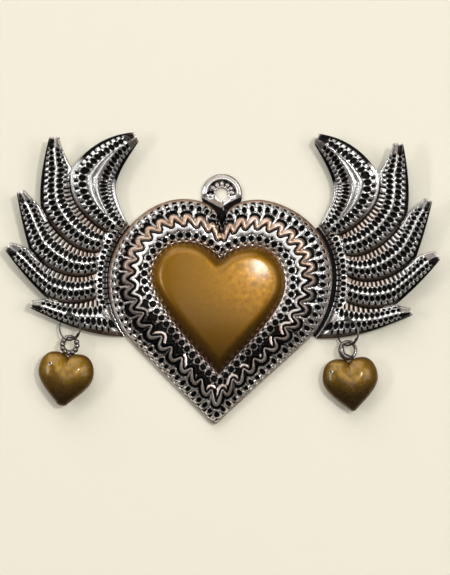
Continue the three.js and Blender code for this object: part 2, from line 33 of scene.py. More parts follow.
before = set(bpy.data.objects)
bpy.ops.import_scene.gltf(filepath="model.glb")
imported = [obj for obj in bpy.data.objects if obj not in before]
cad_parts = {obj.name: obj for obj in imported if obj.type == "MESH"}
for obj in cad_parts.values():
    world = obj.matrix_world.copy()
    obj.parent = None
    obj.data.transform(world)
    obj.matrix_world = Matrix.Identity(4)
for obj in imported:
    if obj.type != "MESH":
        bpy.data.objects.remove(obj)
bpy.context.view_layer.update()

MM = 0.001
SIDES = ("left", "right")
SHARP_ANGLE = radians(60)
SHEET = 0.5
TAB_MID = 0.85
LAYER_BACK = 0.6
LAYER_FRONT = 1.1
FIT = 0.3

# Heart frame, in percent of its width and height
FRAME_SIZE = (113.3, 114.0)
OUTER_CLEFT = (0.1, -12.4)
OUTER_TIP = (-3.3, -102.1)
OUTER_LEFT = (
    [((-2.3, -6.3), (-6.7, -2.1), (-17.3, -2.1)), ((-33.1, -2.1), (-50.6, -18.6), (-50.6, -38.1))],
    [((-50.6, -48.9), (-47.1, -58.9), (-39.1, -66.9)), ((-28, -78.2), (-16.9, -89.4), (-5.7, -100.5)),
     ((-5, -101.4), (-4.2, -102.1), OUTER_TIP)],
)
OUTER_RIGHT = (
    [((1.9, -5.8), (7.3, -2.4), (16.2, -2.4)), ((23.6, -2.4), (49.4, -9.7), (49.4, -37.2))],
    [((49.4, -47.5), (45.1, -58.9), (37.5, -65.8)), ((24.7, -77.4), (11.9, -88.9), (-0.8, -100.5)),
     ((-1.6, -101.4), (-2.3, -102.1), OUTER_TIP)],
)
OPENING_SIZE = (67.3, 66.8)
OPENING_MIDDLE = (-1.1, -45.6)
INNER_CLEFT = (0.7, 29)
INNER_TIP = (-0.3, -58.4)
INNER_LEFT = (
    [((-7.4, 38.3), (-16.3, 41.6), (-25.9, 41.6)), ((-39.2, 41.6), (-50.8, 30.5), (-50.8, 15.1))],
    [((-50.8, -1.6), (-21.7, -35), INNER_TIP)],
)
INNER_RIGHT = (
    [((8.3, 35.6), (15.6, 38.5), (24.5, 38.5)), ((38.5, 38.5), (49.2, 26.8), (49.2, 10.6))],
    [((49.2, -10.6), (18.3, -35.9), INNER_TIP)],
)
WAVES_PER_SIDE = 20
STEPS_PER_WAVE = 24
BAND_ROWS = 72
RIM_HEIGHT = 2.6
CREST_HEIGHT = 8.0
LIP_HEIGHT = 6.0
CREST_PLACE = 0.55
SKIRT_MARGIN = 2.5
BACK_SHARES = (1, 0.8, CREST_PLACE, 0.25)
BACK_DROPS = (SHEET, 2.6, 2.6, 2.6, SHEET)

# Marks on the frame: shares are of the way from the outer edge to the opening
RIB_SHARE = 0.115
OVAL_SHARE = 0.205
OVAL_COUNT = 84
ROPE_SHARE = 0.5
ROPE_SWING = 0.096
PUNCH_SHARE = 0.83
PUNCH_COUNT = 58
BEAD_SHARE = 0.945
ROW_REACH = 14
ROPE_REACH = 20
# Half lengths along a row and half widths across it, in mm
RIB_SIZE = (1.1, 1.4)
KNOB_SIZE = (1.45, 1.3)
OVAL_SIZE = (1.25, 1.95)
LIP_BEAD_SIZE = (1.15, 1.0)
PUNCH_RADIUS = 1.55
PUNCH_DEPTH = -1.4
OVAL_DEPTH = -1.3
# Where the marks change: waves from the cleft, heights in mm
LEFT_WAVES = (2, 5, 13, 17)
RIGHT_WAVES = (24, 27, 35, 38)
CLEFT_WAVES = (0.35, 0.8)
TOP_HEIGHTS = (-52, -24)
LOW_DEPTHS = (54, 78)
DARK_DEPTHS = (46, 68)

# Centre heart
HEART_FLANGE = 2.0
HEART_SEAT = 0.15
BEVEL_WIDTH = 6.6
BEVEL_HEIGHT = 2.0
BEVEL_POWER = 2.4
LIP_STEP = 0.5
HEART_RINGS = 70
HEART_SMOOTHING = 20
INWARD_REACH = 12
CROWN_HEIGHT = 4.6
CROWN_REACH = (37.0, 41.0)

# Hanging tab
HOLE_RADIUS = 3.25
TAB_RADIUS = 10.3
TAB_POINT = 17.5
TAB_EMBOSS = 0.6
PETAL_ANGLES = (144, 116, 89, 58, 32, 8)
EYE_PUNCH = (-5.7, -0.4)
TAB_GRID = (46, 256)
ARCH_RADIUS = 8.8
GROOVE_RADIUS = 6.75
PETAL_RADIUS = 5.0
# Strokes below the arch: start, end, half width, flat-topped or round, height, patina and shade, warm sheen
# and tone. The dark strokes are painted shade where the tab runs under the frame's lobes, and the raised
# clean strokes are painted highlights.
TAB_STROKES = (
    ((-10.6, -2.6), (0.3, -8.6), 1.1, False, -0.3, 0.95, 0.4),
    ((10.6, -2.3), (1.6, -6.8), 1.5, False, -0.3, 0.85, 0.4),
    ((-10.0, -0.9), (-8.9, 3.4), 0.7, False, 0.15, 0.0, 0.0),
    ((4.6, -1.7), (10.2, -0.6), 0.9, True, 0.2, 0.0, 0.0),
    ((4.0, -2.9), (0.9, -5.2), 0.5, False, 0.1, 0.05, 0.0),
    ((0.4, -3.4), (0.9, -8.0), 0.35, False, -0.2, 0.6, None),
)

# Left wing, in percent of its length and height, from the frame's widest place
WING_SIZE = (52.0, 103.2)
WING_EDGES = [
    {"root": [(19.6, 27.1), (11, 35.7), (5.2, 42.6), (7.9, 47.5)], "lower": [(10.4, 54.1), (29.8, 67.6)]},
    {"root": [(-0.4, 23), (-19, 28), (-44, 39.5), (-34.8, 54.7)], "upper": [(-11.9, 70.7), (25, 72.2)],
     "lower": [(-41.9, 60.3), (-46.9, 69.7)]},
    {"root": [(-8.1, 14.1), (-28.3, 11), (-55.2, 23.6), (-65.4, 35.7)],
     "upper": [(-67.5, 49.8), (-56.7, 69.7)], "lower": [(-72.9, 39.7), (-81, 44)]},
    {"root": [(-11, 3.9), (-21.7, 0.6), (-50.2, -0.9), (-76.5, 14.9)],
     "upper": [(-84.6, 29.5), (-88.3, 42.5)], "lower": [(-86.9, 18.4), (-95, 18.3)]},
    {"root": [(-11.9, -8.8), (-29.8, -12.4), (-42.9, -11.6), (-60, -8.8)],
     "upper": [(-83.5, 2.7), (-99.4, 14.4)], "lower": [(-67.1, -9.5), (-74, -10.1)]},
    {"root": [(14.8, -27.7), (-9.4, -27.7), (-36, -23.6), (-60.2, -17.4)],
     "upper": [(-68.5, -15.6), (-76.5, -13.5)]},
]
FEATHER_COLUMNS = (56, 44, 44, 42, 40)
VALLEY_ROWS = 112
TIP_ROWS = 60
ROOT_ROWS = 22
FLANGE_ROWS = 4
WING_LIFT = radians(8)
WING_BASE = 2.8
FEATHER_RISE = 2.4
WING_FLAT_EDGE = 0.8
WING_STEP = 2.2
FLANGE_DEPTH = 6.0
PUNCH_PITCH = 2.66
ROOT_PITCH = 3.0
RIGHT_WING_TURN = radians(3.6)
RIGHT_WING_DROP = 1.4
RING_HOLE_RADIUS = 1.9
WING_HOLE = {"left": (-37.3, -17), "right": (-14.2, -17.8)}
# Marks on a feather: distances from its edge, and half widths, in mm
FEATHER_REACH = 26
FEATHER_RIM = 1.3
FEATHER_RIB_AT = 2.4
FEATHER_RIB = (0.95, 1.05)
FEATHER_OVAL_AT = 4.75
FEATHER_OVAL = (1.25, 1.7)
FEATHER_MIDDLE_AT = 6.3
FULL_WIDTH = 6.25

# Rings, bails and charms
WIRE_RADIUS = 0.45
RING_RADIUS = 6.4
RING_LAP = 0.55
RING_START = radians(25)
RING_OVERLAP = radians(34)
RING_TURN = {"left": radians(35), "right": radians(40)}
BAIL_RADIUS = 4.3
BAIL_BEADS = 12
BEADS_AT = {"left": range(BAIL_BEADS), "right": (2, 9)}
BAIL_WIRE = {"left": 0.75, "right": 0.9}
BAIL_SWELLING = {"left": 0.5, "right": 0.85}
BEAD_RADIUS = 1.05
BEAD_GROWTH = 0.4
BAIL_SEAT = 0.9
BAIL_TURN = radians(20)
BAIL_SWELL = radians(215)
CHARM_LEAN = {"left": radians(7.5), "right": radians(-5.4)}
CHARM_SIZE = (28.0, 26.9)
CHARM_THICKNESS = 11.0
CHARM_ROUND = 10.5
CHARM_MIDDLE = (0, -35.3)
CHARM_TIP = (0, -91.4)
CHARM_TIP_WIDTH = {"left": 4.4, "right": 2.6}
CHARM_VENT = {"left": (-29.3, -14.9), "right": (-33.6, -13.8)}
VENT_RADIUS = 0.6
EYELET_SIZE = (0.95, 0.35)
EYELET_AIM = 9
CHARM_RINGS = 34
CHARM_SMOOTHING = 14


# Curves and profiles

CURVE_POINTS = 400
POINTS_AT_ONCE = 2000


def ease(x, low, high):
    """From 0 at low to 1 at high."""
    x = np.clip((x - low) / (high - low), 0, 1)
    return x * x * (3 - 2 * x)


def fade(x, low, high):
    return 1 - ease(x, low, high)


def between(x, start, full, fall, end):
    return ease(x, start, full) * fade(x, fall, end)


def dome(x, power=0.7):
    return np.clip(1 - x * x, 0, 1) ** power


def pad(x, edge=0.4):
    """A flat-topped mark: 1 inside, falling to 0 at x = 1."""
    return fade(np.abs(x), 1 - edge, 1)


def cubic(a, b, c, d):
    t = np.linspace(0, 1, CURVE_POINTS)[:, None]
    return a * (1 - t) ** 3 + 3 * b * t * (1 - t) ** 2 + 3 * c * t * t * (1 - t) + d * t ** 3


def lengths(points):
    return np.r_[0, np.cumsum(np.linalg.norm(np.diff(points, axis=0), axis=1))]


def evenly(points, count):
    """The same line with evenly spaced points."""
    length = lengths(points)
    wanted = np.linspace(0, length[-1], count)
    return np.stack([np.interp(wanted, length, points[:, k]) for k in (0, 1)], axis=1)


def sized(point, size, middle=(0, 0)):
    return np.array([point[0] * size[0] / 100 + middle[0], point[1] * size[1] / 100 + middle[1]])


def curve_through(start, curves, size, middle):
    parts = []
    for curve in curves:
        a, b, c, d = (sized(p, size, middle) for p in (start, *curve))
        parts.append(cubic(a, b, c, d))
        start = curve[-1]
    return np.concatenate(parts)


def heart_outline(cleft, left, right, size, middle, per_side):
    """Points round a heart: cleft, down the left side, tip, up the right side, and the cleft again."""
    halves = []
    for upper, lower in (left, right):
        turn = upper[-1][-1]
        top = evenly(curve_through(cleft, upper, size, middle), per_side // 2 + 1)
        bottom = evenly(curve_through(turn, lower, size, middle), per_side // 2 + 1)
        halves.append(np.r_[top, bottom[1:]])
    return np.r_[halves[0], halves[1][::-1][1:]]


def measure(places, line, reach, closed=False):
    """Distance of each place to a line with one point per column, positive on its left, and its way along."""
    last = len(line) - 1
    columns = np.arange(len(line))
    best = np.full(places.shape[:2], np.inf)
    side = np.ones_like(best)
    at = np.zeros_like(best)
    for step in range(-reach, reach + 1):
        start = (columns + step) % last if closed else np.clip(columns + step, 0, last - 1)
        along = line[start + 1] - line[start]
        rel = places - line[start]
        share = np.clip((rel * along).sum(axis=2) / (along ** 2).sum(axis=1), 0, 1)
        away = rel - share[..., None] * along
        distance = np.hypot(away[..., 0], away[..., 1])
        nearer = distance < best
        turn = along[:, 0] * rel[..., 1] - along[:, 1] * rel[..., 0]
        side = np.where(nearer, np.where(turn < 0, -1, 1), side)
        at = np.where(nearer, start + share, at)
        best = np.where(nearer, distance, best)
    return best * side, at


def marks_along(places, line, count, reach, closed=False, start=0.0):
    """For evenly spaced marks: distance from their line, distance along it to the next, and its number."""
    away, at = measure(places, line, reach, closed)
    length = lengths(line)
    number = np.interp(at, np.arange(len(line)), length) * count / length[-1] + start
    near = (number - np.rint(number)) * length[-1] / count
    return away, near, number


def uneven(number, amount, key=0.0):
    """The small difference from one mark to the next that hand work has."""
    number = np.rint(number)
    return 1 + amount * np.sin(2.399 * number + key) * np.cos(0.731 * number + 2 * key)


OPENING_AT = tuple(sized(OPENING_MIDDLE, FRAME_SIZE))
STEPS_PER_SIDE = WAVES_PER_SIDE * STEPS_PER_WAVE
FRAME_LINE = heart_outline(OUTER_CLEFT, OUTER_LEFT, OUTER_RIGHT, FRAME_SIZE, (0, 0), STEPS_PER_SIDE)
OPENING_LINE = heart_outline(INNER_CLEFT, INNER_LEFT, INNER_RIGHT, OPENING_SIZE, OPENING_AT, STEPS_PER_SIDE)
WING_ROOT = sized(OUTER_LEFT[0][1][2], FRAME_SIZE)


def nearest_edge(points, outline=FRAME_LINE):
    """For each point: nearest place on an outline, the way out there, and the distance outside."""
    a, along = outline[:-1], np.diff(outline, axis=0)
    square = (along ** 2).sum(axis=1)
    feet, ways, reach = [], [], []
    for part in np.array_split(points, max(1, len(points) // POINTS_AT_ONCE)):
        rel = part[:, None, :] - a[None]
        share = np.clip((rel * along[None]).sum(axis=2) / square, 0, 1)
        foot = a[None] + share[..., None] * along[None]
        away = np.linalg.norm(part[:, None, :] - foot, axis=2)
        k = away.argmin(axis=1)
        rows = np.arange(len(part))
        foot, away, line = foot[rows, k], away[rows, k], along[k]
        out = np.stack([line[:, 1], -line[:, 0]], axis=1)
        out /= np.linalg.norm(out, axis=1)[:, None]
        side = np.where(((part - foot) * out).sum(axis=1) < 0, -1, 1)
        feet.append(foot)
        ways.append(out)
        reach.append(side * away)
    return np.concatenate(feet), np.concatenate(ways), np.concatenate(reach)


# Making meshes

def pick(*pieces):
    bpy.ops.object.select_all(action="DESELECT")
    for piece in pieces:
        piece.select_set(True)
    bpy.context.view_layer.objects.active = pieces[0]


def in_edit(piece, *steps):
    pick(piece)
    bpy.ops.object.mode_set(mode="EDIT")
    for step in steps:
        step()
    bpy.ops.object.mode_set(mode="OBJECT")


def select_all():
    bpy.ops.mesh.select_all(action="SELECT")


def weld(distance=1e-6):
    """A step that merges doubles. The distance is in metres."""
    def run():
        select_all()
        bpy.ops.mesh.remove_doubles(threshold=distance)
    return run


def outward():
    select_all()
    bpy.ops.mesh.normals_make_consistent(inside=False)


def cap_ends():
    bpy.ops.mesh.select_mode(type="EDGE")
    bpy.ops.mesh.select_all(action="DESELECT")
    bpy.ops.mesh.select_non_manifold(extend=False, use_verts=False)
    bpy.ops.mesh.edge_face_add()


def apply_modifier(piece, kind, **values):
    pick(piece)
    modifier = piece.modifiers.new(kind.lower(), kind)
    for key, value in values.items():
        setattr(modifier, key, value)
    bpy.ops.object.modifier_apply(modifier=modifier.name)


def thicken(piece):
    """Gives a sheet its wall, behind its front."""
    apply_modifier(piece, "SOLIDIFY", thickness=SHEET * MM, offset=-1)


def join(name, pieces):
    pick(*pieces)
    bpy.ops.object.join()
    bpy.context.object.name = name
    return bpy.context.object


def fix_place(piece):
    """Keeps a piece's place in its mesh."""
    pick(piece)
    bpy.ops.object.transform_apply(location=True, rotation=True, scale=True)
    return piece


def put(piece, place):
    piece.matrix_world = place @ piece.matrix_world
    return fix_place(piece)


def new_piece(operator, **values):
    bpy.ops.object.select_all(action="DESELECT")
    operator(**values)
    return bpy.context.object


def points_of(piece):
    spots = np.empty(len(piece.data.vertices) * 3, np.float32)
    piece.data.vertices.foreach_get("co", spots)
    return spots.reshape(-1, 3)


def move_points(piece, spots):
    piece.data.vertices.foreach_set("co", spots.astype(np.float32).ravel())


def embossed_grid(name, places, marks):
    """A grid pressed to the given places (rows, columns, xyz in mm), with a value for each mark."""
    rows, columns = places.shape[:2]
    piece = new_piece(
        bpy.ops.mesh.primitive_grid_add, x_subdivisions=columns - 1, y_subdivisions=rows - 1, size=1)
    piece.name = name
    spots = points_of(piece)
    column = np.rint((spots[:, 0] + 0.5) * (columns - 1)).astype(int)
    row = np.rint((spots[:, 1] + 0.5) * (rows - 1)).astype(int)
    move_points(piece, places[row, column] * MM)
    for key, values in marks.items():
        layer = piece.data.attributes.new(key, "FLOAT", "POINT")
        layer.data.foreach_set("value", values[row, column].astype(np.float32).ravel())
    return piece


def raised(flat, height):
    """Points on the sheet from their place on the wall and their height from it."""
    return np.stack([flat[..., 0], TAB_MID - height, flat[..., 1]], axis=-1)


def face_front(piece):
    """Turns a sheet so that its faces look away from the wall."""
    normals = np.empty(len(piece.data.polygons) * 3, np.float32)
    piece.data.polygons.foreach_get("normal", normals)
    if normals.reshape(-1, 3)[:, 1].sum() > 0:
        in_edit(piece, select_all, bpy.ops.mesh.flip_normals)


# Repousse

# The dark mark holds black patina in the punches, grooves and hollows. It also holds painted shade on the
# low, left and side parts of the frame and along the feathers' lower edges.
BRIGHT = {"soot": 0.0, "copper": 0.0}
TONE_COVER = 2.2


class Sheet:
    """A sheet's height, its dark marks of patina and painted shade, and its warm marks of painted sheen and
    tone.
    """

    def __init__(self, shape, soot=0.0, copper=0.0):
        self.height = np.zeros(shape)
        self.tones = {"soot": np.full(shape, soot), "copper": np.full(shape, copper)}

    def press(self, mark, height=0.0, **tones):
        """Presses a mark, with its own patina and painted shade, and its own warm sheen and tone."""
        self.height = self.height + height * mark
        cover = np.clip(mark * TONE_COVER, 0, 1)
        for key, value in tones.items():
            if value is not None:
                self.tones[key] = self.tones[key] + (value - self.tones[key]) * cover

    def marks(self):
        return {key: np.clip(value, 0, 1) for key, value in self.tones.items()}


# Heart frame: one sheet with a rope of two ribbons between rows of punches

def meander(turn):
    """Wide round crests and narrow troughs, from 1 to -1."""
    return 1 - 2 * ((1 - np.cos(2 * pi * turn)) / 2) ** 1.5


def frame_relief(flat, shares, width):
    across = OPENING_LINE - FRAME_LINE
    turn = np.arange(len(FRAME_LINE)) / STEPS_PER_WAVE
    left = between(turn, *LEFT_WAVES)
    right = between(turn, *RIGHT_WAVES)
    cleft = fade(np.minimum(turn, turn[-1] - turn), *CLEFT_WAVES)
    # top marks the upper part, which is given a painted warm reflection. low and dark mark the lower parts,
    # which are given painted shade that grows darker towards the bottom.
    top = ease(flat[..., 1], *TOP_HEIGHTS)
    low = ease(-flat[..., 1], *LOW_DEPTHS)
    dark = ease(-flat[..., 1], *DARK_DEPTHS)

    def line_at(share):
        return FRAME_LINE + (share + 0 * turn)[:, None] * across

    def row_of_marks(share, count, start=0.0):
        return marks_along(flat, line_at(share), count, ROW_REACH, closed=True, start=start)

    islands = ease(uneven(turn * 2, 1.0, 0.4)[None] - 1 + 0 * shares, -0.1, 0.25)
    ground = low * (1 - islands) * ease(shares, 0.16, 0.25)
    sheet = Sheet(shares.shape)
    press = sheet.press
    # Painted shade: the base is darker on the left side and in the low part, where the ground is black
    # between lighter islands. It is also warmer there, as a painted warm tint.
    sheet.tones["soot"] += 0.03 + (0.3 * left + 0.35 * low) * (1 - ground) + 0.9 * ground
    sheet.tones["copper"] += 0.05 + 0.3 * low + 0.25 * left
    from_edge = shares * width
    to_lip = (1 - shares) * width

    away, near, number = row_of_marks(RIB_SHARE, OVAL_COUNT, 0.5)
    size = uneven(number, 0.12, 1.1) * (1 + 0.15 * low)
    press(pad(away / 1.6, 0.3), -0.3, soot=0.93)
    rib = pad(away / (RIB_SIZE[1] + 0.3 * right)) * pad(near / ((RIB_SIZE[0] + 0.15 * right) * size), 0.45)
    rib = rib * (1 - left)
    press(rib, 0.75 + 0.2 * low, **BRIGHT)
    knob = dome(np.hypot(near / (KNOB_SIZE[0] * size), away / KNOB_SIZE[1]), 0.8) * left
    press(knob, 0.95, **BRIGHT)
    # The rim is a taupe band, warmer towards the top as a painted warm reflection.
    rim = 0.95 - 0.25 * right * (1 - top)
    press(pad((from_edge - 0.75) / rim, 0.3), 0.1, soot=0.36, copper=0.35 + 0.4 * top)
    press(dome((from_edge - 0.8) / 0.8), 0.4)

    away, near, number = row_of_marks(OVAL_SHARE, OVAL_COUNT)
    size = uneven(number, 0.12, 0.3)
    oval = np.hypot(near / (OVAL_SIZE[0] * size), away / (OVAL_SIZE[1] - 0.5 * left))
    press(dome((oval - 1.12) / 0.3), 0.15, soot=0.0)
    press(pad(oval, 0.3), OVAL_DEPTH, soot=1.0)

    wave = meander(turn)
    rope = line_at(ROPE_SHARE - ROPE_SWING * wave - 0.03 * left)
    away, at = measure(flat, rope, ROPE_REACH, closed=True)
    out = -away
    number = at / STEPS_PER_WAVE
    crest = ease(meander(number), -0.5, 0.4)
    half = (1.0 + 0.55 * crest) * (1 - 0.3 * dark)
    thick = (1.35 + 0.7 * left) * uneven(number, 0.15, 0.9)

    sides = 1 - top
    hem = half + 2.65 - 0.7 * sides
    below = ease(-out, hem, hem + 0.25) * fade(shares, 0.765, 0.79)
    press(below * ease(wave, -0.75, 0.1), -0.8, soot=0.97)
    arc = ease(meander(number), -0.35, 0.0) * ease(wave, -0.88, -0.6)
    hollow = between(out, half - 0.2, half + 0.1, half + thick - 0.15, half + thick + 0.15)
    press(hollow * arc, PUNCH_DEPTH, soot=1.0)
    # The crescents' raised edges are darker in the low part: painted shade.
    press(dome((out - half - thick - 0.4) / 0.5) * arc, 0.35, soot=0.3 * low, copper=0.0)
    ribbon = (out + half + 1.6 - 0.3 * sides) / (1.25 - 0.35 * sides)
    glint = ease(uneven(at / (STEPS_PER_WAVE * 0.6), 1.0, 0.7), 1.0, 1.25)
    # The ribbon is painted darker on the sides, and darker still in the low part, as painted shade. It stays
    # clean at the top and at the glints, which are painted highlights.
    press(pad(ribbon, 0.35), 0.45, soot=(0.15 + 0.7 * dark * (1 - glint)) * sides,
          copper=0.15 * sides + 0.3 * dark)
    press(dome((out + half + 0.15) / 0.4), -0.4, soot=0.85)
    # The rope is darker on the sides and on its lower flank as painted shade, and warmer at the top as a
    # painted warm reflection.
    shaded = ease(-out / half, -0.1, 0.9)
    press(dome(out / half, 0.5), 1.0, soot=0.08 + 0.5 * sides - 0.15 * dark + 0.35 * shaded,
          copper=0.5 + 0.2 * top - 0.1 * dark)

    away, near, number = row_of_marks(PUNCH_SHARE, PUNCH_COUNT, 0.3)
    punch = np.hypot(near, away) / (PUNCH_RADIUS * uneven(number, 0.1, 2.0))
    # The punch rims, the lip band, its beads and the lip edge are darker in the low part as painted shade,
    # and warmer at the top as a painted warm reflection.
    press(dome((punch - 1.15) / 0.25), 0.2, soot=0.62 * dark, copper=0.3 * dark)
    press(pad(punch, 0.3), PUNCH_DEPTH, soot=1.0)

    away, near, number = row_of_marks(BEAD_SHARE, PUNCH_COUNT, 0.3)
    press(pad(away / 1.35), 0.1, soot=0.4 + 0.15 * low, copper=0.45 + 0.3 * top)
    gap = np.hypot((np.abs(near) - 1.9) / 0.75, away / 0.8)
    press(pad(gap, 0.5) * (1 - 0.7 * right), -0.4, soot=0.8)
    bead = np.hypot(near / LIP_BEAD_SIZE[0], away / LIP_BEAD_SIZE[1])
    press(dome(bead, 0.8) * (1 - 0.6 * right), 0.75, soot=0.3 * low, copper=0.5 * top + 0.3 * low)
    press(dome((to_lip - 0.4) / 0.45), 0.15, soot=0.35 * dark, copper=0.1 + 0.4 * dark)
    press(cleft * fade(from_edge, 2.0, 3.0), -0.2, soot=1.0)
    sheet.height *= ease(shares, 0, 0.03) * ease(shares, 1, 0.985)
    return sheet


def skirt_foot(line):
    top, bottom = (sized(WING_EDGES[k]["root"][0], WING_SIZE, WING_ROOT)[1] for k in (0, -1))
    behind_tab = (np.abs(line[:, 0]) < TAB_RADIUS + SKIRT_MARGIN) & (line[:, 1] > -TAB_POINT)
    behind_wing = line[:, 1] < top + SKIRT_MARGIN
    behind_wing &= line[:, 1] > bottom - RIGHT_WING_DROP - SKIRT_MARGIN
    return np.where(behind_tab | behind_wing, LAYER_FRONT + FIT, LAYER_BACK)


def band_height(share):
    rise = np.where(share < CREST_PLACE, CREST_HEIGHT - RIM_HEIGHT, CREST_HEIGHT - LIP_HEIGHT)
    reach = np.where(share < CREST_PLACE, CREST_PLACE, 1 - CREST_PLACE)
    return CREST_HEIGHT - rise * ((share - CREST_PLACE) / reach) ** 2


def heart_frame():
    columns = len(FRAME_LINE)
    width = np.linalg.norm(FRAME_LINE - OPENING_LINE, axis=1)[None, :]
    foot = skirt_foot(FRAME_LINE)[None, :]
    shares = np.linspace(0, 1, BAND_ROWS)[:, None] * np.ones((1, columns))

    def across(shares):
        return FRAME_LINE + shares[..., None] * (OPENING_LINE - FRAME_LINE)

    flat = across(shares)
    sheet = frame_relief(flat, shares, width)
    height = band_height(shares) + sheet.height
    edge = np.r_[foot, (foot + RIM_HEIGHT) / 2]
    back_rim = SHEET / width
    back_shares = np.array(BACK_SHARES)[:, None] * np.ones((1, columns))
    back_shares = np.r_[back_shares, back_rim, back_rim, np.zeros((1, columns))]
    back_height = band_height(back_shares[:5]) - np.array(BACK_DROPS)[:, None]
    back_height = np.r_[back_height, foot, foot]
    places = np.r_[
        raised(np.stack([FRAME_LINE] * 2), edge), raised(flat, height),
        raised(across(back_shares), back_height)]
    marks = {
        key: np.r_[np.full(edge.shape, 0.3), values, np.full(back_height.shape, 0.35)]
        for key, values in sheet.marks().items()
    }
    piece = embossed_grid("embossed_heart_frame", places, marks)
    in_edit(piece, weld(), outward)
    return piece


# Wings: five feathers and a root band, pressed in one sheet

def feather_edge(edge, tip):
    root = [sized(p, WING_SIZE, WING_ROOT) for p in edge["root"]]
    valley = evenly(cubic(*root), VALLEY_ROWS + 1)
    bend, end = (sized(p, WING_SIZE, WING_ROOT) for p in edge[tip])
    split = root[-1]
    free = cubic(split, split + (bend - split) * 2 / 3, end + (bend - end) * 2 / 3, end)
    return np.r_[valley, evenly(free, TIP_ROWS + 1)[1:]]


def wing_height(flat, form, relief):
    shape = flat.shape[:-1]
    away = nearest_edge(flat.reshape(-1, 2))[2].reshape(shape)
    clear = away - WING_FLAT_EDGE
    rise = ease(clear, 0, WING_STEP)
    lift = tan(WING_LIFT) * np.maximum(clear, 0)
    return LAYER_FRONT + rise * (WING_BASE - LAYER_FRONT + form + relief) + lift * rise


def feather_relief(flat, upper, lower, first):
    """A feather's rims, ribs, ovals and middle ridge. Marks are set by their distance from the two edges."""
    places = flat.swapaxes(0, 1)
    middle = (upper + lower) / 2
    high = np.abs(measure(places, upper, FEATHER_REACH)[0].T)
    deep = np.abs(measure(places, lower, FEATHER_REACH)[0].T)
    length = lengths(middle)[-1]
    count = round(length / PUNCH_PITCH)
    pitch = length / count
    near, number = (v.T for v in marks_along(places, middle, count, FEATHER_REACH)[1:])
    half = (high + deep) / 2
    edge = np.minimum(high, deep)
    below = ease(high - deep, -0.5, 0.5)
    ridge = np.maximum(0.6, 0.62 * first * (half - 6.2))
    scale = np.clip((half - ridge) / FULL_WIDTH, 0.1, 1.3)
    way = number / count
    to_tip = length - number * pitch
    marked = ease(half, 1.8, 3.0) * ease(to_tip, 4.5, 7.0)
    rootward = fade(way, 0.25, 0.75)

    sheet = Sheet(half.shape, soot=0.08, copper=0.08)
    press = sheet.press
    near = np.where(below > 0.5, near, (number + 0.3 - np.rint(number + 0.3)) * pitch)
    size = uneven(number + 20 * below, 0.12, first)
    outer = first * between(way, 0.25, 0.4, 0.5, 0.62)
    upper_side = (1 - first) * (1 - below)
    valley = upper_side * fade(way, 0.64, 0.7)
    # Painted shade runs along each feather's lower rim, and along the first feather's upper rim towards its
    # tip. A painted warm reflection lies on the rims and on the upper side's ribs, most towards the root.
    rim_shade = below * (0.97 - 0.3 * rootward) * (1 - 0.95 * outer)
    rim_shade = rim_shade + 0.88 * first * (1 - below) * ease(way, 0.5, 0.62)
    press(fade(edge, FEATHER_RIM * scale, 1.5 * scale + 0.2), soot=rim_shade,
          copper=0.7 * upper_side * rootward + below * (0.35 + 0.4 * rootward) * (1 - outer))
    press(dome((edge - 0.55) / 0.55), 0.2)
    from_ribs = np.abs(edge - (FEATHER_RIB_AT - 0.55 * valley) * scale) / (1 + 0.52 * valley)
    press(pad(from_ribs / (1.1 * scale), 0.3) * marked, -0.25, soot=0.9)
    rib = pad(from_ribs / (FEATHER_RIB[1] * scale)) * pad(near / (FEATHER_RIB[0] * size), 0.5)
    press(rib * marked, 0.6, soot=0.0, copper=0.5 * upper_side * rootward)
    # A dark line runs along the valley between feathers: patina and painted shade.
    press(valley * fade(edge, 0.25, 0.5), -0.1, soot=0.95)
    from_oval = (edge - FEATHER_OVAL_AT * scale) / (FEATHER_OVAL[1] * scale)
    oval = np.hypot(near / (FEATHER_OVAL[0] * size), from_oval)
    press(dome((oval - 1.08) / 0.25) * marked, 0.12, soot=0.0)
    press(pad(oval, 0.3) * marked, -1.1, soot=1.0)
    inside = half - edge
    wide = np.maximum(0.55, half - FEATHER_MIDDLE_AT * scale)
    press(pad(inside / wide, 0.3) * marked, 0.35, **BRIGHT)
    stripes = first * ease(half, 6.5, 8.0) * marked
    press(stripes * dome((inside - 0.5 * wide) / (0.42 * wide)), 0.5)
    press(stripes * dome((inside - 0.98 * wide) / (0.16 * wide)), -0.1, soot=0.4, copper=0.1)
    press(stripes * dome(inside / 0.4), -0.2, soot=0.3)
    blank = fade(to_tip, 4.0, 6.5) * ease(edge, 0.5, 1.2)
    # The blank tip is darker on its lower side: painted shade.
    press(blank, -0.15, soot=0.5 + 0.3 * below, copper=0.3)
    press(fade(to_tip, 0.5, 1.1), 0.15, soot=0.25)
    return sheet


def root_relief(share, size, length):
    """The band along the root: a column of ovals and a column of beads, then the fold under the frame."""
    number = (length / ROOT_PITCH)[None, :]
    near = (number - np.rint(number)) * ROOT_PITCH
    uneven_size = uneven(number, 0.14, 0.5)
    present = ease(size, 2.5, 4.5)
    sheet = Sheet(share.shape[:1] + number.shape[1:], soot=0.05, copper=0.1)
    press = sheet.press
    oval = np.hypot(near / (1.25 * uneven_size), (share - 0.33) * size / 1.5)
    press(dome((oval - 1.08) / 0.25) * present, 0.15, soot=0.0)
    press(pad(oval, 0.35) * present, -1.0, soot=1.0)
    press(pad((share - 0.76) * size / 1.3, 0.3) * present, -0.2, soot=0.88)
    press(pad((share - 0.76) * size / 1.25, 0.45) * pad(near / 1.15, 0.5) * present, 0.5, soot=0.0)
    # The fold under the frame is black: a painted shadow under the frame's rim.
    press(ease(share, 0.95, 1.0) + 0 * near, soot=1.0)
    return sheet


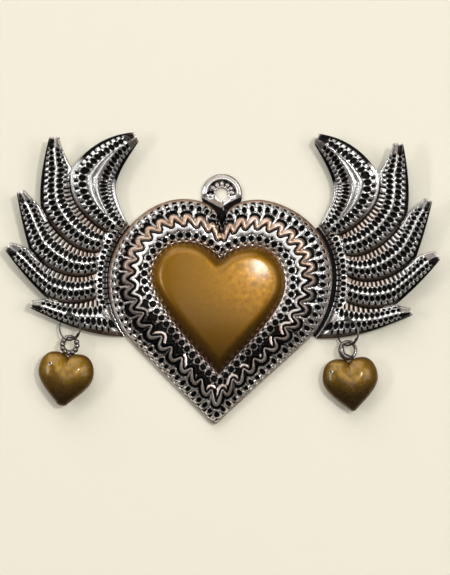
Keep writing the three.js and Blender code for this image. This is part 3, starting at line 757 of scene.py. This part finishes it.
def wing_sheet(name):
    pieces = []
    rows = VALLEY_ROWS + TIP_ROWS
    along_root = 0.0
    for k, columns in enumerate(FEATHER_COLUMNS):
        across = np.linspace(0, 1, columns + 1)[None, :]
        row = np.arange(rows + 1)[:, None] * np.ones_like(across)
        upper = feather_edge(WING_EDGES[k], "lower")
        lower = feather_edge(WING_EDGES[k + 1], "upper")
        flat = upper[:, None, :] + across[..., None] * (lower - upper)[:, None, :]
        width = np.linalg.norm(lower - upper, axis=1)[:, None]
        sheet = feather_relief(flat, upper, lower, 1.0 if k == 0 else 0.0)
        form = np.minimum(FEATHER_RISE, 0.3 * width) * np.sin(pi * across) ** 0.8
        form = form * (0.4 + 0.6 * ease(row, 0, 12))
        height = wing_height(flat, form, sheet.height * ease(row, 0, 5))
        pieces.append(embossed_grid("feather", raised(flat, height), sheet.marks()))

        root = flat[0]
        foot, out, distance = nearest_edge(root)
        edge_at = np.minimum(WING_FLAT_EDGE, distance - FIT)[:, None]
        inner = foot + out * edge_at
        steps = np.linspace(0, 1, ROOT_ROWS + 1)[:, None, None]
        band = root[None] * (1 - steps) + inner[None] * steps
        flange_steps = np.linspace(0, 1, FLANGE_ROWS + 1)[1:, None, None]
        flange = foot[None] + out[None] * (edge_at[None] + (-FLANGE_DEPTH - edge_at[None]) * flange_steps)
        band = np.r_[band, flange]
        length = lengths(root) + along_root
        along_root = length[-1]
        share = np.r_[steps[:, 0, 0], np.ones(FLANGE_ROWS)][:, None]
        sheet = root_relief(share, (distance - edge_at[:, 0])[None, :], length)
        form = 0.4 * np.minimum(FEATHER_RISE, 0.3 * width[0]) * np.sin(pi * across) ** 0.8
        form = form * fade(share, 0, 0.5) + 0.6 * between(share, 0, 0.5, 0.6, 1)
        height = wing_height(band, form, sheet.height)
        pieces.append(embossed_grid("root_band", raised(band, height), sheet.marks()))
    for piece in pieces:
        face_front(piece)
    wing = join(name, pieces)
    in_edit(wing, weld(2e-6))
    return wing


def punch_hole(piece, centre, radius):
    """Opens a round hole in a sheet and draws the edge points onto its circle. Centre and radius in mm."""
    inside = np.linalg.norm(points_of(piece)[:, [0, 2]] / MM - centre, axis=1) < radius
    in_edit(piece, lambda: bpy.ops.mesh.select_mode(type="FACE"))
    faces = piece.data.polygons
    faces.foreach_set("select", [all(inside[i] for i in face.vertices) for face in faces])
    in_edit(piece, lambda: bpy.ops.mesh.delete(type="FACE"), lambda: bpy.ops.mesh.select_mode(type="VERT"))
    spots = points_of(piece)
    rel = spots[:, [0, 2]] / MM - centre
    away = np.linalg.norm(rel, axis=1)
    near = (away > 0) & (away < radius)
    spots[np.ix_(near, [0, 2])] = (centre + rel[near] * (radius / away[near])[:, None]) * MM
    move_points(piece, spots)


def to_right(points):
    """The right wing's place for a left wing's point (x, z in mm)."""
    x = WING_ROOT[0] - points[..., 0]
    z = points[..., 1] - WING_ROOT[1]
    c, s = cos(RIGHT_WING_TURN), sin(RIGHT_WING_TURN)
    return np.stack([x * c + z * s - WING_ROOT[0], z * c - x * s + WING_ROOT[1] - RIGHT_WING_DROP], axis=-1)


def wing_hole(side):
    hole = sized(WING_HOLE[side], WING_SIZE, WING_ROOT)
    return to_right(hole) if side == "right" else hole


def make_wings():
    left = wing_sheet("embossed_wing_left")
    pick(left)
    bpy.ops.object.duplicate()
    right = bpy.context.object
    right.name = "embossed_wing_right"
    spots = points_of(right)
    moved = to_right(spots[:, [0, 2]] / MM) * MM
    spots[:, 0], spots[:, 2] = moved[:, 0], moved[:, 1]
    move_points(right, spots)
    for piece, side in zip((left, right), SIDES):
        in_edit(piece, outward)
        face_front(piece)
        punch_hole(piece, wing_hole(side), RING_HOLE_RADIUS)
        thicken(piece)
    return left, right


# Hanging tab: an arch with petals round the hole, an eye punch, and a shield below

def hanging_tab():
    rings, turns = TAB_GRID
    angle = np.linspace(0, 2 * pi, turns + 1)[None, :]
    slope = acos(TAB_RADIUS / TAB_POINT)
    from_point = np.arccos(np.clip(-np.sin(angle), -1, 1))
    reach = np.where(from_point < slope, TAB_RADIUS / np.cos(slope - from_point), TAB_RADIUS)
    share = np.linspace(0, 1, rings)[:, None]
    radius = HOLE_RADIUS + share * (reach - HOLE_RADIUS)
    flat = np.stack([radius * np.cos(angle), radius * np.sin(angle)], axis=-1)
    x, z = flat[..., 0], flat[..., 1]
    upper = ease(z, -2.4, 0.4)
    turn = np.degrees(angle) + 0 * radius

    sheet = Sheet(x.shape, soot=0.5, copper=0.4)
    press = sheet.press
    press(dome((radius - ARCH_RADIUS) / 1.5, 0.6) * upper, TAB_EMBOSS, soot=0.36, copper=0.3)
    press(dome((radius - ARCH_RADIUS + 1) / 0.5) * upper, 0.15, **BRIGHT)
    segments = ease(np.cos(np.radians(turn * 6 - 30)), -0.3, 0.4)
    groove = dome((radius - GROOVE_RADIUS) / 0.7) * ease(z, 0.8, 2.2) * (0.25 + 0.75 * segments)
    press(groove, -0.35, soot=1.0)
    for petal in PETAL_ANGLES:
        aside = np.radians((turn - petal + 180) % 360 - 180) * radius
        lump = dome(np.hypot(aside / (0.95 + 0.12 * (radius - 4)), (radius - PETAL_RADIUS) / 1.5), 0.5)
        press(dome(np.hypot(aside / 1.7, (radius - 5.1) / 2.0), 0.5) * (1 - lump), -0.15, soot=0.75)
        press(lump, 0.4, soot=0.22, copper=0.3)
        press(dome(np.hypot(aside / 0.22, (radius - 4.9) / 1.1)), -0.15, soot=0.6)
    eye_x, eye_z = x - EYE_PUNCH[0], z - EYE_PUNCH[1]
    brow = ease(eye_z, -0.1, 0.7)
    press(dome((np.hypot(eye_x, eye_z) - 1.55) / 0.7), 0.2 - 0.6 * brow, soot=0.02 + 0.98 * brow, copper=0.1)
    press(dome(np.hypot(eye_x, eye_z + 0.5) / 0.95), 0.45, soot=0.2, copper=0.1)
    press(dome((radius - HOLE_RADIUS - 0.35) / 0.5), 0.3, soot=0.05, copper=0.2)

    # Painted shade on the lower part of the tab, where it runs behind the frame.
    press(ease(-z, 6.0, 9.0), soot=0.85, copper=0.4)
    for start, end, half, flat_topped, height, soot, copper in TAB_STROKES:
        rel, along = flat - start, np.subtract(end, start)
        part = np.clip((rel @ along) / (along @ along), 0, 1)
        away = np.linalg.norm(rel - part[..., None] * along, axis=-1) / half
        press(pad(away, 0.5) if flat_topped else dome(away), height, soot=soot, copper=copper)
    edge = ease(share, 0, 0.05) * ease(share, 1.0, 0.94)
    relief = np.clip(sheet.height, -0.3, TAB_EMBOSS) * upper + 0.1 * sheet.height * (1 - upper)
    height = LAYER_FRONT + relief * edge
    piece = embossed_grid("embossed_hanging_tab", raised(flat, height), sheet.marks())
    in_edit(piece, weld())
    face_front(piece)
    thicken(piece)
    return piece


# Centre heart and charms: puffed hearts of rings that shrink to a middle point

def shrunk(line, middle, shares):
    """Rings that shrink from a line to its middle, and how far each point is from the line."""
    rings = middle + shares[:, None, None] * (line[None] - middle)
    return rings, np.abs(nearest_edge(rings.reshape(-1, 2), line)[2]).reshape(rings.shape[:2])


def ringed_sheet(name, rings, height, inward):
    """A sheet of closed rings, outer first, with its last ring drawn together."""
    piece = embossed_grid(name, raised(rings, height), {"inward": np.clip(inward / INWARD_REACH, 0, 1)})
    in_edit(piece, weld())
    face_front(piece)
    return piece


def centre_heart():
    line = OPENING_LINE[::3]
    middle = np.array(OPENING_AT)
    outside = FRAME_LINE[::3]
    flange = line + (outside - line) * (HEART_FLANGE / np.linalg.norm(outside - line, axis=1))[:, None]
    reach = np.linalg.norm(line - middle, axis=1).min()
    shares = np.r_[[1 - FIT / reach], 1 - 2 * FIT / reach - np.linspace(0, 1, HEART_RINGS) ** 1.1]
    rings, away = shrunk(line, middle, np.maximum(shares, 0))
    seat = LIP_HEIGHT - SHEET - HEART_SEAT
    bevel = 1 - (1 - np.clip(away / BEVEL_WIDTH, 0, 1)) ** BEVEL_POWER
    crown = 1 - np.clip(np.linalg.norm((rings - middle) / CROWN_REACH, axis=2), 0, 1) ** 2
    height = LIP_HEIGHT + LIP_STEP + bevel * (BEVEL_HEIGHT + CROWN_HEIGHT * crown)
    height[0] = seat
    rings = np.r_[flange[None], rings]
    height = np.r_[np.full((1, len(line)), seat), height]
    inward = np.r_[np.zeros((1, len(line))), away]
    piece = ringed_sheet("gilt_centre_heart", rings, height, inward)
    apply_modifier(piece, "SMOOTH", factor=0.5, iterations=HEART_SMOOTHING)
    thicken(piece)
    return piece


def charm_outline(side, per_side):
    tip = 50 * CHARM_TIP_WIDTH[side] / CHARM_SIZE[0]
    low = CHARM_TIP[1]

    def half(hand):
        upper = [((3, 5.5), (10, 8.6), (22.5, 8.6)), ((40, 8.6), (50, -8.5), (50, -28.3))]
        lower = [((50, -52), (22.9, -72.1), (tip, low + 1.5)),
                 ((0.7 * tip, low), (0.3 * tip, low), CHARM_TIP)]
        return tuple([tuple((hand * x, z) for x, z in curve) for curve in part] for part in (upper, lower))

    return heart_outline((0, 0), half(-1), half(1), CHARM_SIZE, (0, 0), per_side)


def under_hole(side, part, drop):
    """A place below a wing's hole, midway between the front and back of a part. The drop is in mm."""
    low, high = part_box(f"{part}_{side}")
    x, z = wing_hole(side)
    return Matrix.Translation((x * MM, (low.y + high.y) / 2, (z - drop) * MM))


def charm_place(side):
    """Where a charm hangs: its bail's centre, leaning in the wing's plane."""
    drop = BAIL_RADIUS + 2 * RING_RADIUS - WIRE_RADIUS - FIT - BEAD_RADIUS
    return under_hole(side, "charm_bail", drop) @ Matrix.Rotation(CHARM_LEAN[side], 4, "Y")


def charm_shell(side, face):
    """Half of a puffed charm. The front one has a small vent with a raised eyelet."""
    line = charm_outline(side, 96)
    middle = sized(CHARM_MIDDLE, CHARM_SIZE)
    shares = np.cos(np.linspace(0, pi / 2, CHARM_RINGS))
    shares[-1] = 0
    rings, away = shrunk(line, middle, shares)
    inward = 1 - np.clip(away / CHARM_ROUND, 0, 1)
    cap = 1 - 0.25 * (np.linalg.norm(rings - middle, axis=2) / CHARM_SIZE[0] * 2) ** 2
    swell = CHARM_THICKNESS / 2 * np.sqrt(np.clip(1 - inward ** 2, 0, 1)) * cap
    hand = 1 if face == "front" else -1
    name = f"gilt_charm_{face}_{side}"
    piece = ringed_sheet(name, rings, TAB_MID + hand * swell, away)
    apply_modifier(piece, "SMOOTH", factor=0.5, iterations=CHARM_SMOOTHING, use_x=False, use_z=False)
    if face == "back":
        in_edit(piece, select_all, bpy.ops.mesh.flip_normals)
        thicken(piece)
    else:
        vent = sized(CHARM_VENT[side], CHARM_SIZE)
        spots = points_of(piece)
        close = np.linalg.norm(spots[:, [0, 2]] / MM - vent, axis=1).argsort()[:8]
        vent_y = float(spots[close, 1].mean())
        punch_hole(piece, vent, VENT_RADIUS)
        thicken(piece)
        out = Vector((vent[0] - middle[0], -EYELET_AIM, vent[1] - middle[1])).normalized()
        turn = out.to_track_quat("Z", "Y").to_matrix().to_4x4()
        eyelet = new_piece(
            bpy.ops.mesh.primitive_torus_add, major_segments=40, minor_segments=14,
            major_radius=EYELET_SIZE[0] * MM, minor_radius=EYELET_SIZE[1] * MM)
        put(eyelet, Matrix.Translation((vent[0] * MM, vent_y, vent[1] * MM)) @ turn)
        dress(piece, gilt_charm)
        dress(eyelet, eyelet_silver)
        piece = join(name, [piece, eyelet])
    cleft = -BAIL_RADIUS - BEAD_RADIUS - BAIL_SEAT
    return put(piece, charm_place(side) @ Matrix.Translation((0, 0, cleft * MM)))


def beaded_bail(side):
    """A loop of wire. The left one has beads all round. The right one is thick at one side and has two."""
    loop = fix_place(new_piece(
        bpy.ops.mesh.primitive_torus_add, major_segments=96, minor_segments=20,
        major_radius=BAIL_RADIUS * MM, minor_radius=BAIL_WIRE[side] * MM, rotation=(pi / 2, 0, 0)))
    spots = points_of(loop)
    angle = np.arctan2(spots[:, 2], spots[:, 0])
    core = np.stack([np.cos(angle), 0 * angle, np.sin(angle)], axis=1) * BAIL_RADIUS * MM
    inward = core / BAIL_RADIUS
    swelling = ease(np.cos(angle - BAIL_SWELL), -0.2, 0.8)[:, None] * BAIL_SWELLING[side]
    spots = core - inward * swelling + (spots - core) * (1 + swelling)
    move_points(loop, spots)
    pieces = [loop]
    for bead in BEADS_AT[side]:
        angle = 2 * pi * bead / BAIL_BEADS
        growth = 0.0 if side == "right" or sin(angle) > 0.6 else BEAD_GROWTH
        reach = (BAIL_RADIUS - growth) * MM
        pieces.append(new_piece(
            bpy.ops.mesh.primitive_uv_sphere_add, segments=28, ring_count=16,
            radius=(BEAD_RADIUS + growth) * MM, location=(reach * cos(angle), 0, reach * sin(angle))))
    piece = join(f"beaded_bail_{side}", pieces)
    return put(piece, charm_place(side) @ Matrix.Rotation(BAIL_TURN, 4, "Z"))


def wire_ring(side):
    """A turn of wire whose ends lie side by side."""
    ring = fix_place(new_piece(
        bpy.ops.mesh.primitive_circle_add, vertices=20, radius=WIRE_RADIUS * MM,
        location=(RING_RADIUS * MM, 0, 0)))
    ring.name = f"wire_ring_{side}"
    apply_modifier(ring, "SCREW", axis="Y", angle=2 * pi + RING_OVERLAP, screw_offset=2 * RING_LAP * MM,
                   steps=130, render_steps=130)
    in_edit(ring, weld(1e-7), cap_ends, outward)
    lapped = Matrix.Translation((0, -RING_LAP * MM, 0)) @ Matrix.Rotation(RING_START, 4, "Y")
    turned = Matrix.Rotation(-RING_TURN[side], 4, "Z") @ lapped
    return put(ring, under_hole(side, "jump_ring", RING_RADIUS) @ turned)


# Finishes

STROKE_TILTS = (-0.7, 0.85)
STROKE_SCALE = 360.0
BUMP_DEPTH = 0.1 * MM


def effect_group(name, inputs):
    """An effect for any material, which gives a colour, a roughness and a height."""
    group = bpy.data.node_groups.new(name, "ShaderNodeTree")

    def socket(label, way, kind):
        return group.interface.new_socket(name=label, in_out=way, socket_type=f"NodeSocket{kind}")

    for label, value in inputs.items():
        socket(label, "INPUT", "Color" if isinstance(value, tuple) else "Float").default_value = value
    for label in ("Colour", "Roughness", "Height"):
        socket(label, "OUTPUT", "Color" if label == "Colour" else "Float")
    return group, group.nodes.new("NodeGroupInput").outputs, group.nodes.new("NodeGroupOutput")


def feed(tree, item, values):
    """Gives each named or numbered input of a node its value or link."""
    for key, value in values.items():
        if isinstance(value, bpy.types.NodeSocket):
            tree.links.new(value, item.inputs[key])
        else:
            item.inputs[key].default_value = value


def node(tree, kind, values=None, **settings):
    made = tree.nodes.new(f"ShaderNode{kind}")
    for key, value in settings.items():
        setattr(made, key, value)
    feed(tree, made, values or {})
    return made


def object_places(tree):
    return node(tree, "TexCoord").outputs["Object"]


def noise(tree, size, detail=3.0):
    """Cloudy spots about size mm wide, as a value from 0 to 1."""
    return node(tree, "TexNoise", {
        "Vector": object_places(tree), "Scale": 1000.0 / size, "Detail": detail}).outputs["Fac"]


def calc(tree, operation, *values, clamp=False):
    return node(tree, "Math", dict(enumerate(values)), operation=operation, use_clamp=clamp).outputs["Value"]


def spread(tree, value, low, high, start=0.0, end=1.0):
    """Maps a value from low and high to start and end, and no further."""
    return node(tree, "MapRange", {
        "Value": value, "From Min": low, "From Max": high, "To Min": start, "To Max": end}).outputs["Result"]


def blend(tree, share, first, second):
    made = node(tree, "Mix", data_type="RGBA")
    used = [k for k, socket in enumerate(made.inputs) if socket.enabled]
    feed(tree, made, dict(zip(used, (share, first, second))))
    return next(socket for socket in made.outputs if socket.enabled)


def varied(tree, value, spots, amount):
    """A value that wanders with the spots."""
    wander = calc(tree, "MULTIPLY", calc(tree, "SUBTRACT", spots, 0.5), amount)
    return calc(tree, "ADD", value, wander, clamp=True)


# Clean silver is blended towards the Warm colour by the warm mark, which is a painted warm reflection with
# some warm tone. It is blended towards Black by the dark mark, which is patina and painted shade.
def patina_shade_and_sheen_group():
    group, given, result = effect_group("patina_shade_and_sheen", {
        "Patina and shade": 0.0, "Warm sheen and tone": 0.0, "Bright": (0.8, 0.79, 0.77, 1), "Warm": (0.42, 0.2, 0.07, 1),
        "Black": (0.004, 0.0035, 0.003, 1), "Stain": 0.4})
    fine = noise(group, 0.9)
    wide = noise(group, 9.0)
    grain = noise(group, 0.35, 2.0)
    soot = varied(group, varied(group, given["Patina and shade"], fine, 0.35), wide, given["Stain"])
    soot = spread(group, soot, 0.0, 0.8)
    copper = varied(group, given["Warm sheen and tone"], wide, 0.7)
    metal = blend(group, copper, given["Bright"], given["Warm"])
    rough = calc(group, "MULTIPLY_ADD", soot, 0.25, spread(group, fine, 0.3, 0.7, 0.14, 0.3))
    feed(group, result, {
        "Colour": blend(group, soot, metal, given["Black"]),
        "Roughness": calc(group, "MULTIPLY_ADD", copper, 0.15, rough),
        "Height": calc(group, "MULTIPLY_ADD", grain, 0.5, fine)})
    return group


def gilding_group():
    group, given, result = effect_group("gilding", {
        "Inward": 1.0, "Top": 0.0, "Bottom": 1.0, "Light": (0.6, 0.4, 0.1, 1), "Deep": (0.2, 0.1, 0.02, 1),
        "Rim": (0.1, 0.03, 0.01, 1), "Mottle": 0.3, "Hatching": 0.1})
    places = object_places(group)
    axes = node(group, "SeparateXYZ", {"Vector": places})
    # The colour falls from the Light colour at the Top height to the Deep colour at the Bottom height. This
    # is painted shade, darker towards the bottom, under real mottle and hatching.
    fall = spread(group, axes.outputs["Z"], given["Top"], given["Bottom"])
    strokes = []
    for tilt in STROKE_TILTS:
        turned = node(group, "Mapping", {"Vector": places, "Rotation": (0, tilt, 0)}).outputs["Vector"]
        stroke = node(group, "TexWave", {
            "Vector": turned, "Scale": STROKE_SCALE, "Distortion": 2.5, "Detail": 2.0})
        strokes.append(stroke.outputs["Fac"])
    hatch = calc(group, "MULTIPLY", *strokes)
    fine = noise(group, 0.7)
    spots = noise(group, 2.4, 5.0)
    deep = varied(group, fall, spots, given["Mottle"])
    deep = varied(group, deep, fine, calc(group, "MULTIPLY_ADD", given["Mottle"], 0.55, 0.15))
    deep = varied(group, deep, hatch, given["Hatching"])
    body = blend(group, deep, given["Light"], given["Deep"])
    # Painted shade at the rim: the colour goes to the Rim colour close to the edge.
    edge_shade = varied(group, spread(group, given["Inward"], 0.0, 0.12, 0.9, 0.0), spots, 0.2)
    feed(group, result, {
        "Colour": blend(group, edge_shade, body, given["Rim"]),
        "Roughness": spread(group, spots, 0.3, 0.7, 0.3, 0.46),
        "Height": calc(group, "MULTIPLY_ADD", hatch, 0.6, fine)})
    return group


def new_material(name):
    made = bpy.data.materials.new(name)
    made.use_nodes = True
    return made, made.node_tree, made.node_tree.nodes["Principled BSDF"]


def finish(name, group, values, metallic, bump, coat=0.0, coat_roughness=0.1, rough_gain=1.0):
    """A material from an effect. A value may be a number, a colour or the name of a mark on the piece."""
    made, tree, surface = new_material(name)
    effect = node(tree, "Group", node_tree=group)
    for label, value in values.items():
        if isinstance(value, str):
            value = node(tree, "Attribute", attribute_name=value).outputs["Fac"]
        feed(tree, effect, {label: value})
    relief = node(tree, "Bump", {
        "Strength": bump, "Distance": BUMP_DEPTH, "Height": effect.outputs["Height"]})
    feed(tree, surface, {
        "Base Color": effect.outputs["Colour"],
        "Roughness": calc(tree, "MULTIPLY", effect.outputs["Roughness"], rough_gain),
        "Metallic": metallic, "Coat Weight": coat, "Coat Roughness": coat_roughness,
        "Normal": relief.outputs["Normal"]})
    return made


def dress(piece, material):
    piece.data.materials.clear()
    piece.data.materials.append(material)


def settle(piece, material, body, node):
    """Dresses a finished piece, which rides with a body and stands for a CAD node."""
    if not piece.data.materials:
        dress(piece, material)
    pick(piece)
    bpy.ops.object.shade_smooth_by_angle(angle=SHARP_ANGLE)
    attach(piece, body)
    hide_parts(node)


patina_shade_and_sheen = patina_shade_and_sheen_group()
gilding = gilding_group()
# The tin sheets take their patina, their painted shade and their painted warm sheen from their marks.
antique_tin = finish("antique_tin", patina_shade_and_sheen, {"Patina and shade": "soot", "Warm sheen and tone": "copper", "Stain": 0.3}, 0.92, 0.3)
wire_steel = finish("wire_steel", patina_shade_and_sheen, {"Patina and shade": 0.68, "Warm sheen and tone": 0.1, "Stain": 0.3}, 1.0, 0.2)
bead_silver = finish("bead_silver", patina_shade_and_sheen, {
    "Patina and shade": 0.52, "Warm sheen and tone": 0.25, "Stain": 0.5}, 1.0, 0.2, rough_gain=0.6)
eyelet_silver = finish("eyelet_silver", patina_shade_and_sheen, {"Patina and shade": 0.0, "Warm sheen and tone": 0.1, "Stain": 0.2}, 0.8, 0.2)
plate_tin = finish("plate_tin", patina_shade_and_sheen, {
    "Patina and shade": 0.35, "Warm sheen and tone": 0.2, "Stain": 0.8, "Bright": (0.5, 0.49, 0.47, 1)}, 1.0, 0.3, rough_gain=1.8)
solder_grey = finish("solder_grey", patina_shade_and_sheen, {
    "Patina and shade": 0.15, "Warm sheen and tone": 0.0, "Stain": 0.3, "Bright": (0.45, 0.45, 0.44, 1)}, 1.0, 0.5, rough_gain=2.0)
# In the gilt finishes, Deep is the painted shade colour towards the Bottom height, and Rim is the painted
# shade colour at the edge.
gilt_lacquer = finish("gilt_lacquer", gilding, {
    "Inward": "inward", "Top": -0.045, "Bottom": -0.095, "Light": (0.255, 0.119, 0.0045, 1),
    "Deep": (0.07, 0.03, 0.003, 1), "Rim": (0.06, 0.018, 0.004, 1), "Mottle": 0.15, "Hatching": 0.25,
}, 0.92, 0.03, coat=0.45, coat_roughness=0.17, rough_gain=1.2)
gilt_charm = finish("gilt_charm", gilding, {
    "Inward": "inward", "Top": -0.082, "Bottom": -0.103, "Light": (0.28, 0.15, 0.01, 1),
    "Deep": (0.03, 0.015, 0.004, 1), "Rim": (0.1, 0.035, 0.008, 1), "Mottle": 0.95, "Hatching": 0.3,
}, 0.9, 0.15, coat=0.6, coat_roughness=0.15, rough_gain=1.25)

settle(heart_frame(), antique_tin, "ornament", "heart_frame")
for wing, side in zip(make_wings(), SIDES):
    settle(wing, antique_tin, "ornament", f"wing_{side}")
settle(hanging_tab(), antique_tin, "ornament", "hanging_tab")
settle(centre_heart(), gilt_lacquer, "ornament", "center_heart")
for side in SIDES:
    settle(wire_ring(side), wire_steel, f"ring_{side}", f"jump_ring_{side}")
    settle(beaded_bail(side), bead_silver, f"charm_{side}", f"charm_bail_{side}")
    for face in ("front", "back"):
        settle(charm_shell(side, face), gilt_charm, f"charm_{side}", f"charm_{face}_{side}")
for name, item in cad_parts.items():
    if name == "back_plate":
        dress(item, plate_tin)
    elif name.startswith("solder"):
        dress(item, solder_grey)


# Wall, light and camera

WALL_Y = 1.2 * MM
WALL_WIDTH = 5
WALL_COLOUR = (0.88, 0.835, 0.69, 1)
IMAGE = (450, 575)
MM_PER_PIXEL = 0.505
HOLE_PIXEL = (221.8, 194.0)
SCALE_PLANE = 5
CAMERA_DISTANCE = 1500.0
SENSOR = 36
LAMP_AIM = (0, 0, -0.05)
# Each lamp's place and size in metres, and its power
LAMPS = {
    "softbox_above": ((-1.4, -3.3, 4.05), (6.0, 4.0), 156),
    "softbox_front": ((0, -3.3, 0.35), (2.2, 2.0), 17),
    "softbox_key": ((0.9, -2.9, 0.53), (0.32, 0.26), 27),
    "softbox_right": ((2.6, -3.0, 0.4), (1.6, 2.2), 30),
    "softbox_left": ((-2.7, -2.4, 0.2), (0.4, 1.6), 22),
    "softbox_behind": ((-0.8, 2.6, 1.6), (2.6, 2.0), 40),
}
AIR_COLOUR = (1.0, 0.94, 0.86, 1)
AIR_STRENGTH = 0.12

wall = new_piece(
    bpy.ops.mesh.primitive_plane_add, size=WALL_WIDTH, location=(0, WALL_Y, 0), rotation=(pi / 2, 0, 0))
wall.name = "wall"
wall_paint, tree, paint = new_material("wall_paint")
feed(tree, paint, {"Base Color": WALL_COLOUR, "Roughness": 0.9})
# Seen from behind, the wall is clear, so that the back of the ornament can be looked at.
behind = node(tree, "NewGeometry").outputs["Backfacing"]
clear = calc(tree, "MAXIMUM", behind, node(tree, "LightPath").outputs["Is Shadow Ray"])
glass = node(tree, "BsdfTransparent")
mixed = node(tree, "MixShader", {0: clear, 1: paint.outputs["BSDF"], 2: glass.outputs["BSDF"]})
feed(tree, tree.nodes["Material Output"], {"Surface": mixed.outputs["Shader"]})
dress(wall, wall_paint)


def set_up(data, place, turn):
    """Puts a camera or lamp in the scene."""
    item = bpy.data.objects.new(data.name, data)
    bpy.context.scene.collection.objects.link(item)
    item.location, item.rotation_euler = place, turn
    return item


view = bpy.data.cameras.new("front_view")
view.sensor_fit = "HORIZONTAL"
view.sensor_width = SENSOR
view.lens = SENSOR * CAMERA_DISTANCE / (IMAGE[0] * MM_PER_PIXEL)
view.clip_start = 0.05
view_x = (IMAGE[0] / 2 - HOLE_PIXEL[0]) * MM_PER_PIXEL
view_z = (HOLE_PIXEL[1] - IMAGE[1] / 2) * MM_PER_PIXEL
camera_place = Vector((view_x, -(CAMERA_DISTANCE + SCALE_PLANE), view_z)) * MM
bpy.context.scene.camera = set_up(view, camera_place, (pi / 2, 0, 0))

for name, (place, size, power) in LAMPS.items():
    lamp = bpy.data.lights.new(name, "AREA")
    lamp.shape = "RECTANGLE"
    lamp.size, lamp.size_y = size
    lamp.energy = power
    set_up(lamp, place, (Vector(LAMP_AIM) - Vector(place)).to_track_quat("-Z", "Y").to_euler())

studio = bpy.data.worlds.new("studio")
bpy.context.scene.world = studio
studio.use_nodes = True
feed(studio.node_tree, studio.node_tree.nodes["Background"], {"Color": AIR_COLOUR, "Strength": AIR_STRENGTH})

bpy.context.scene.view_settings.view_transform = "Standard"
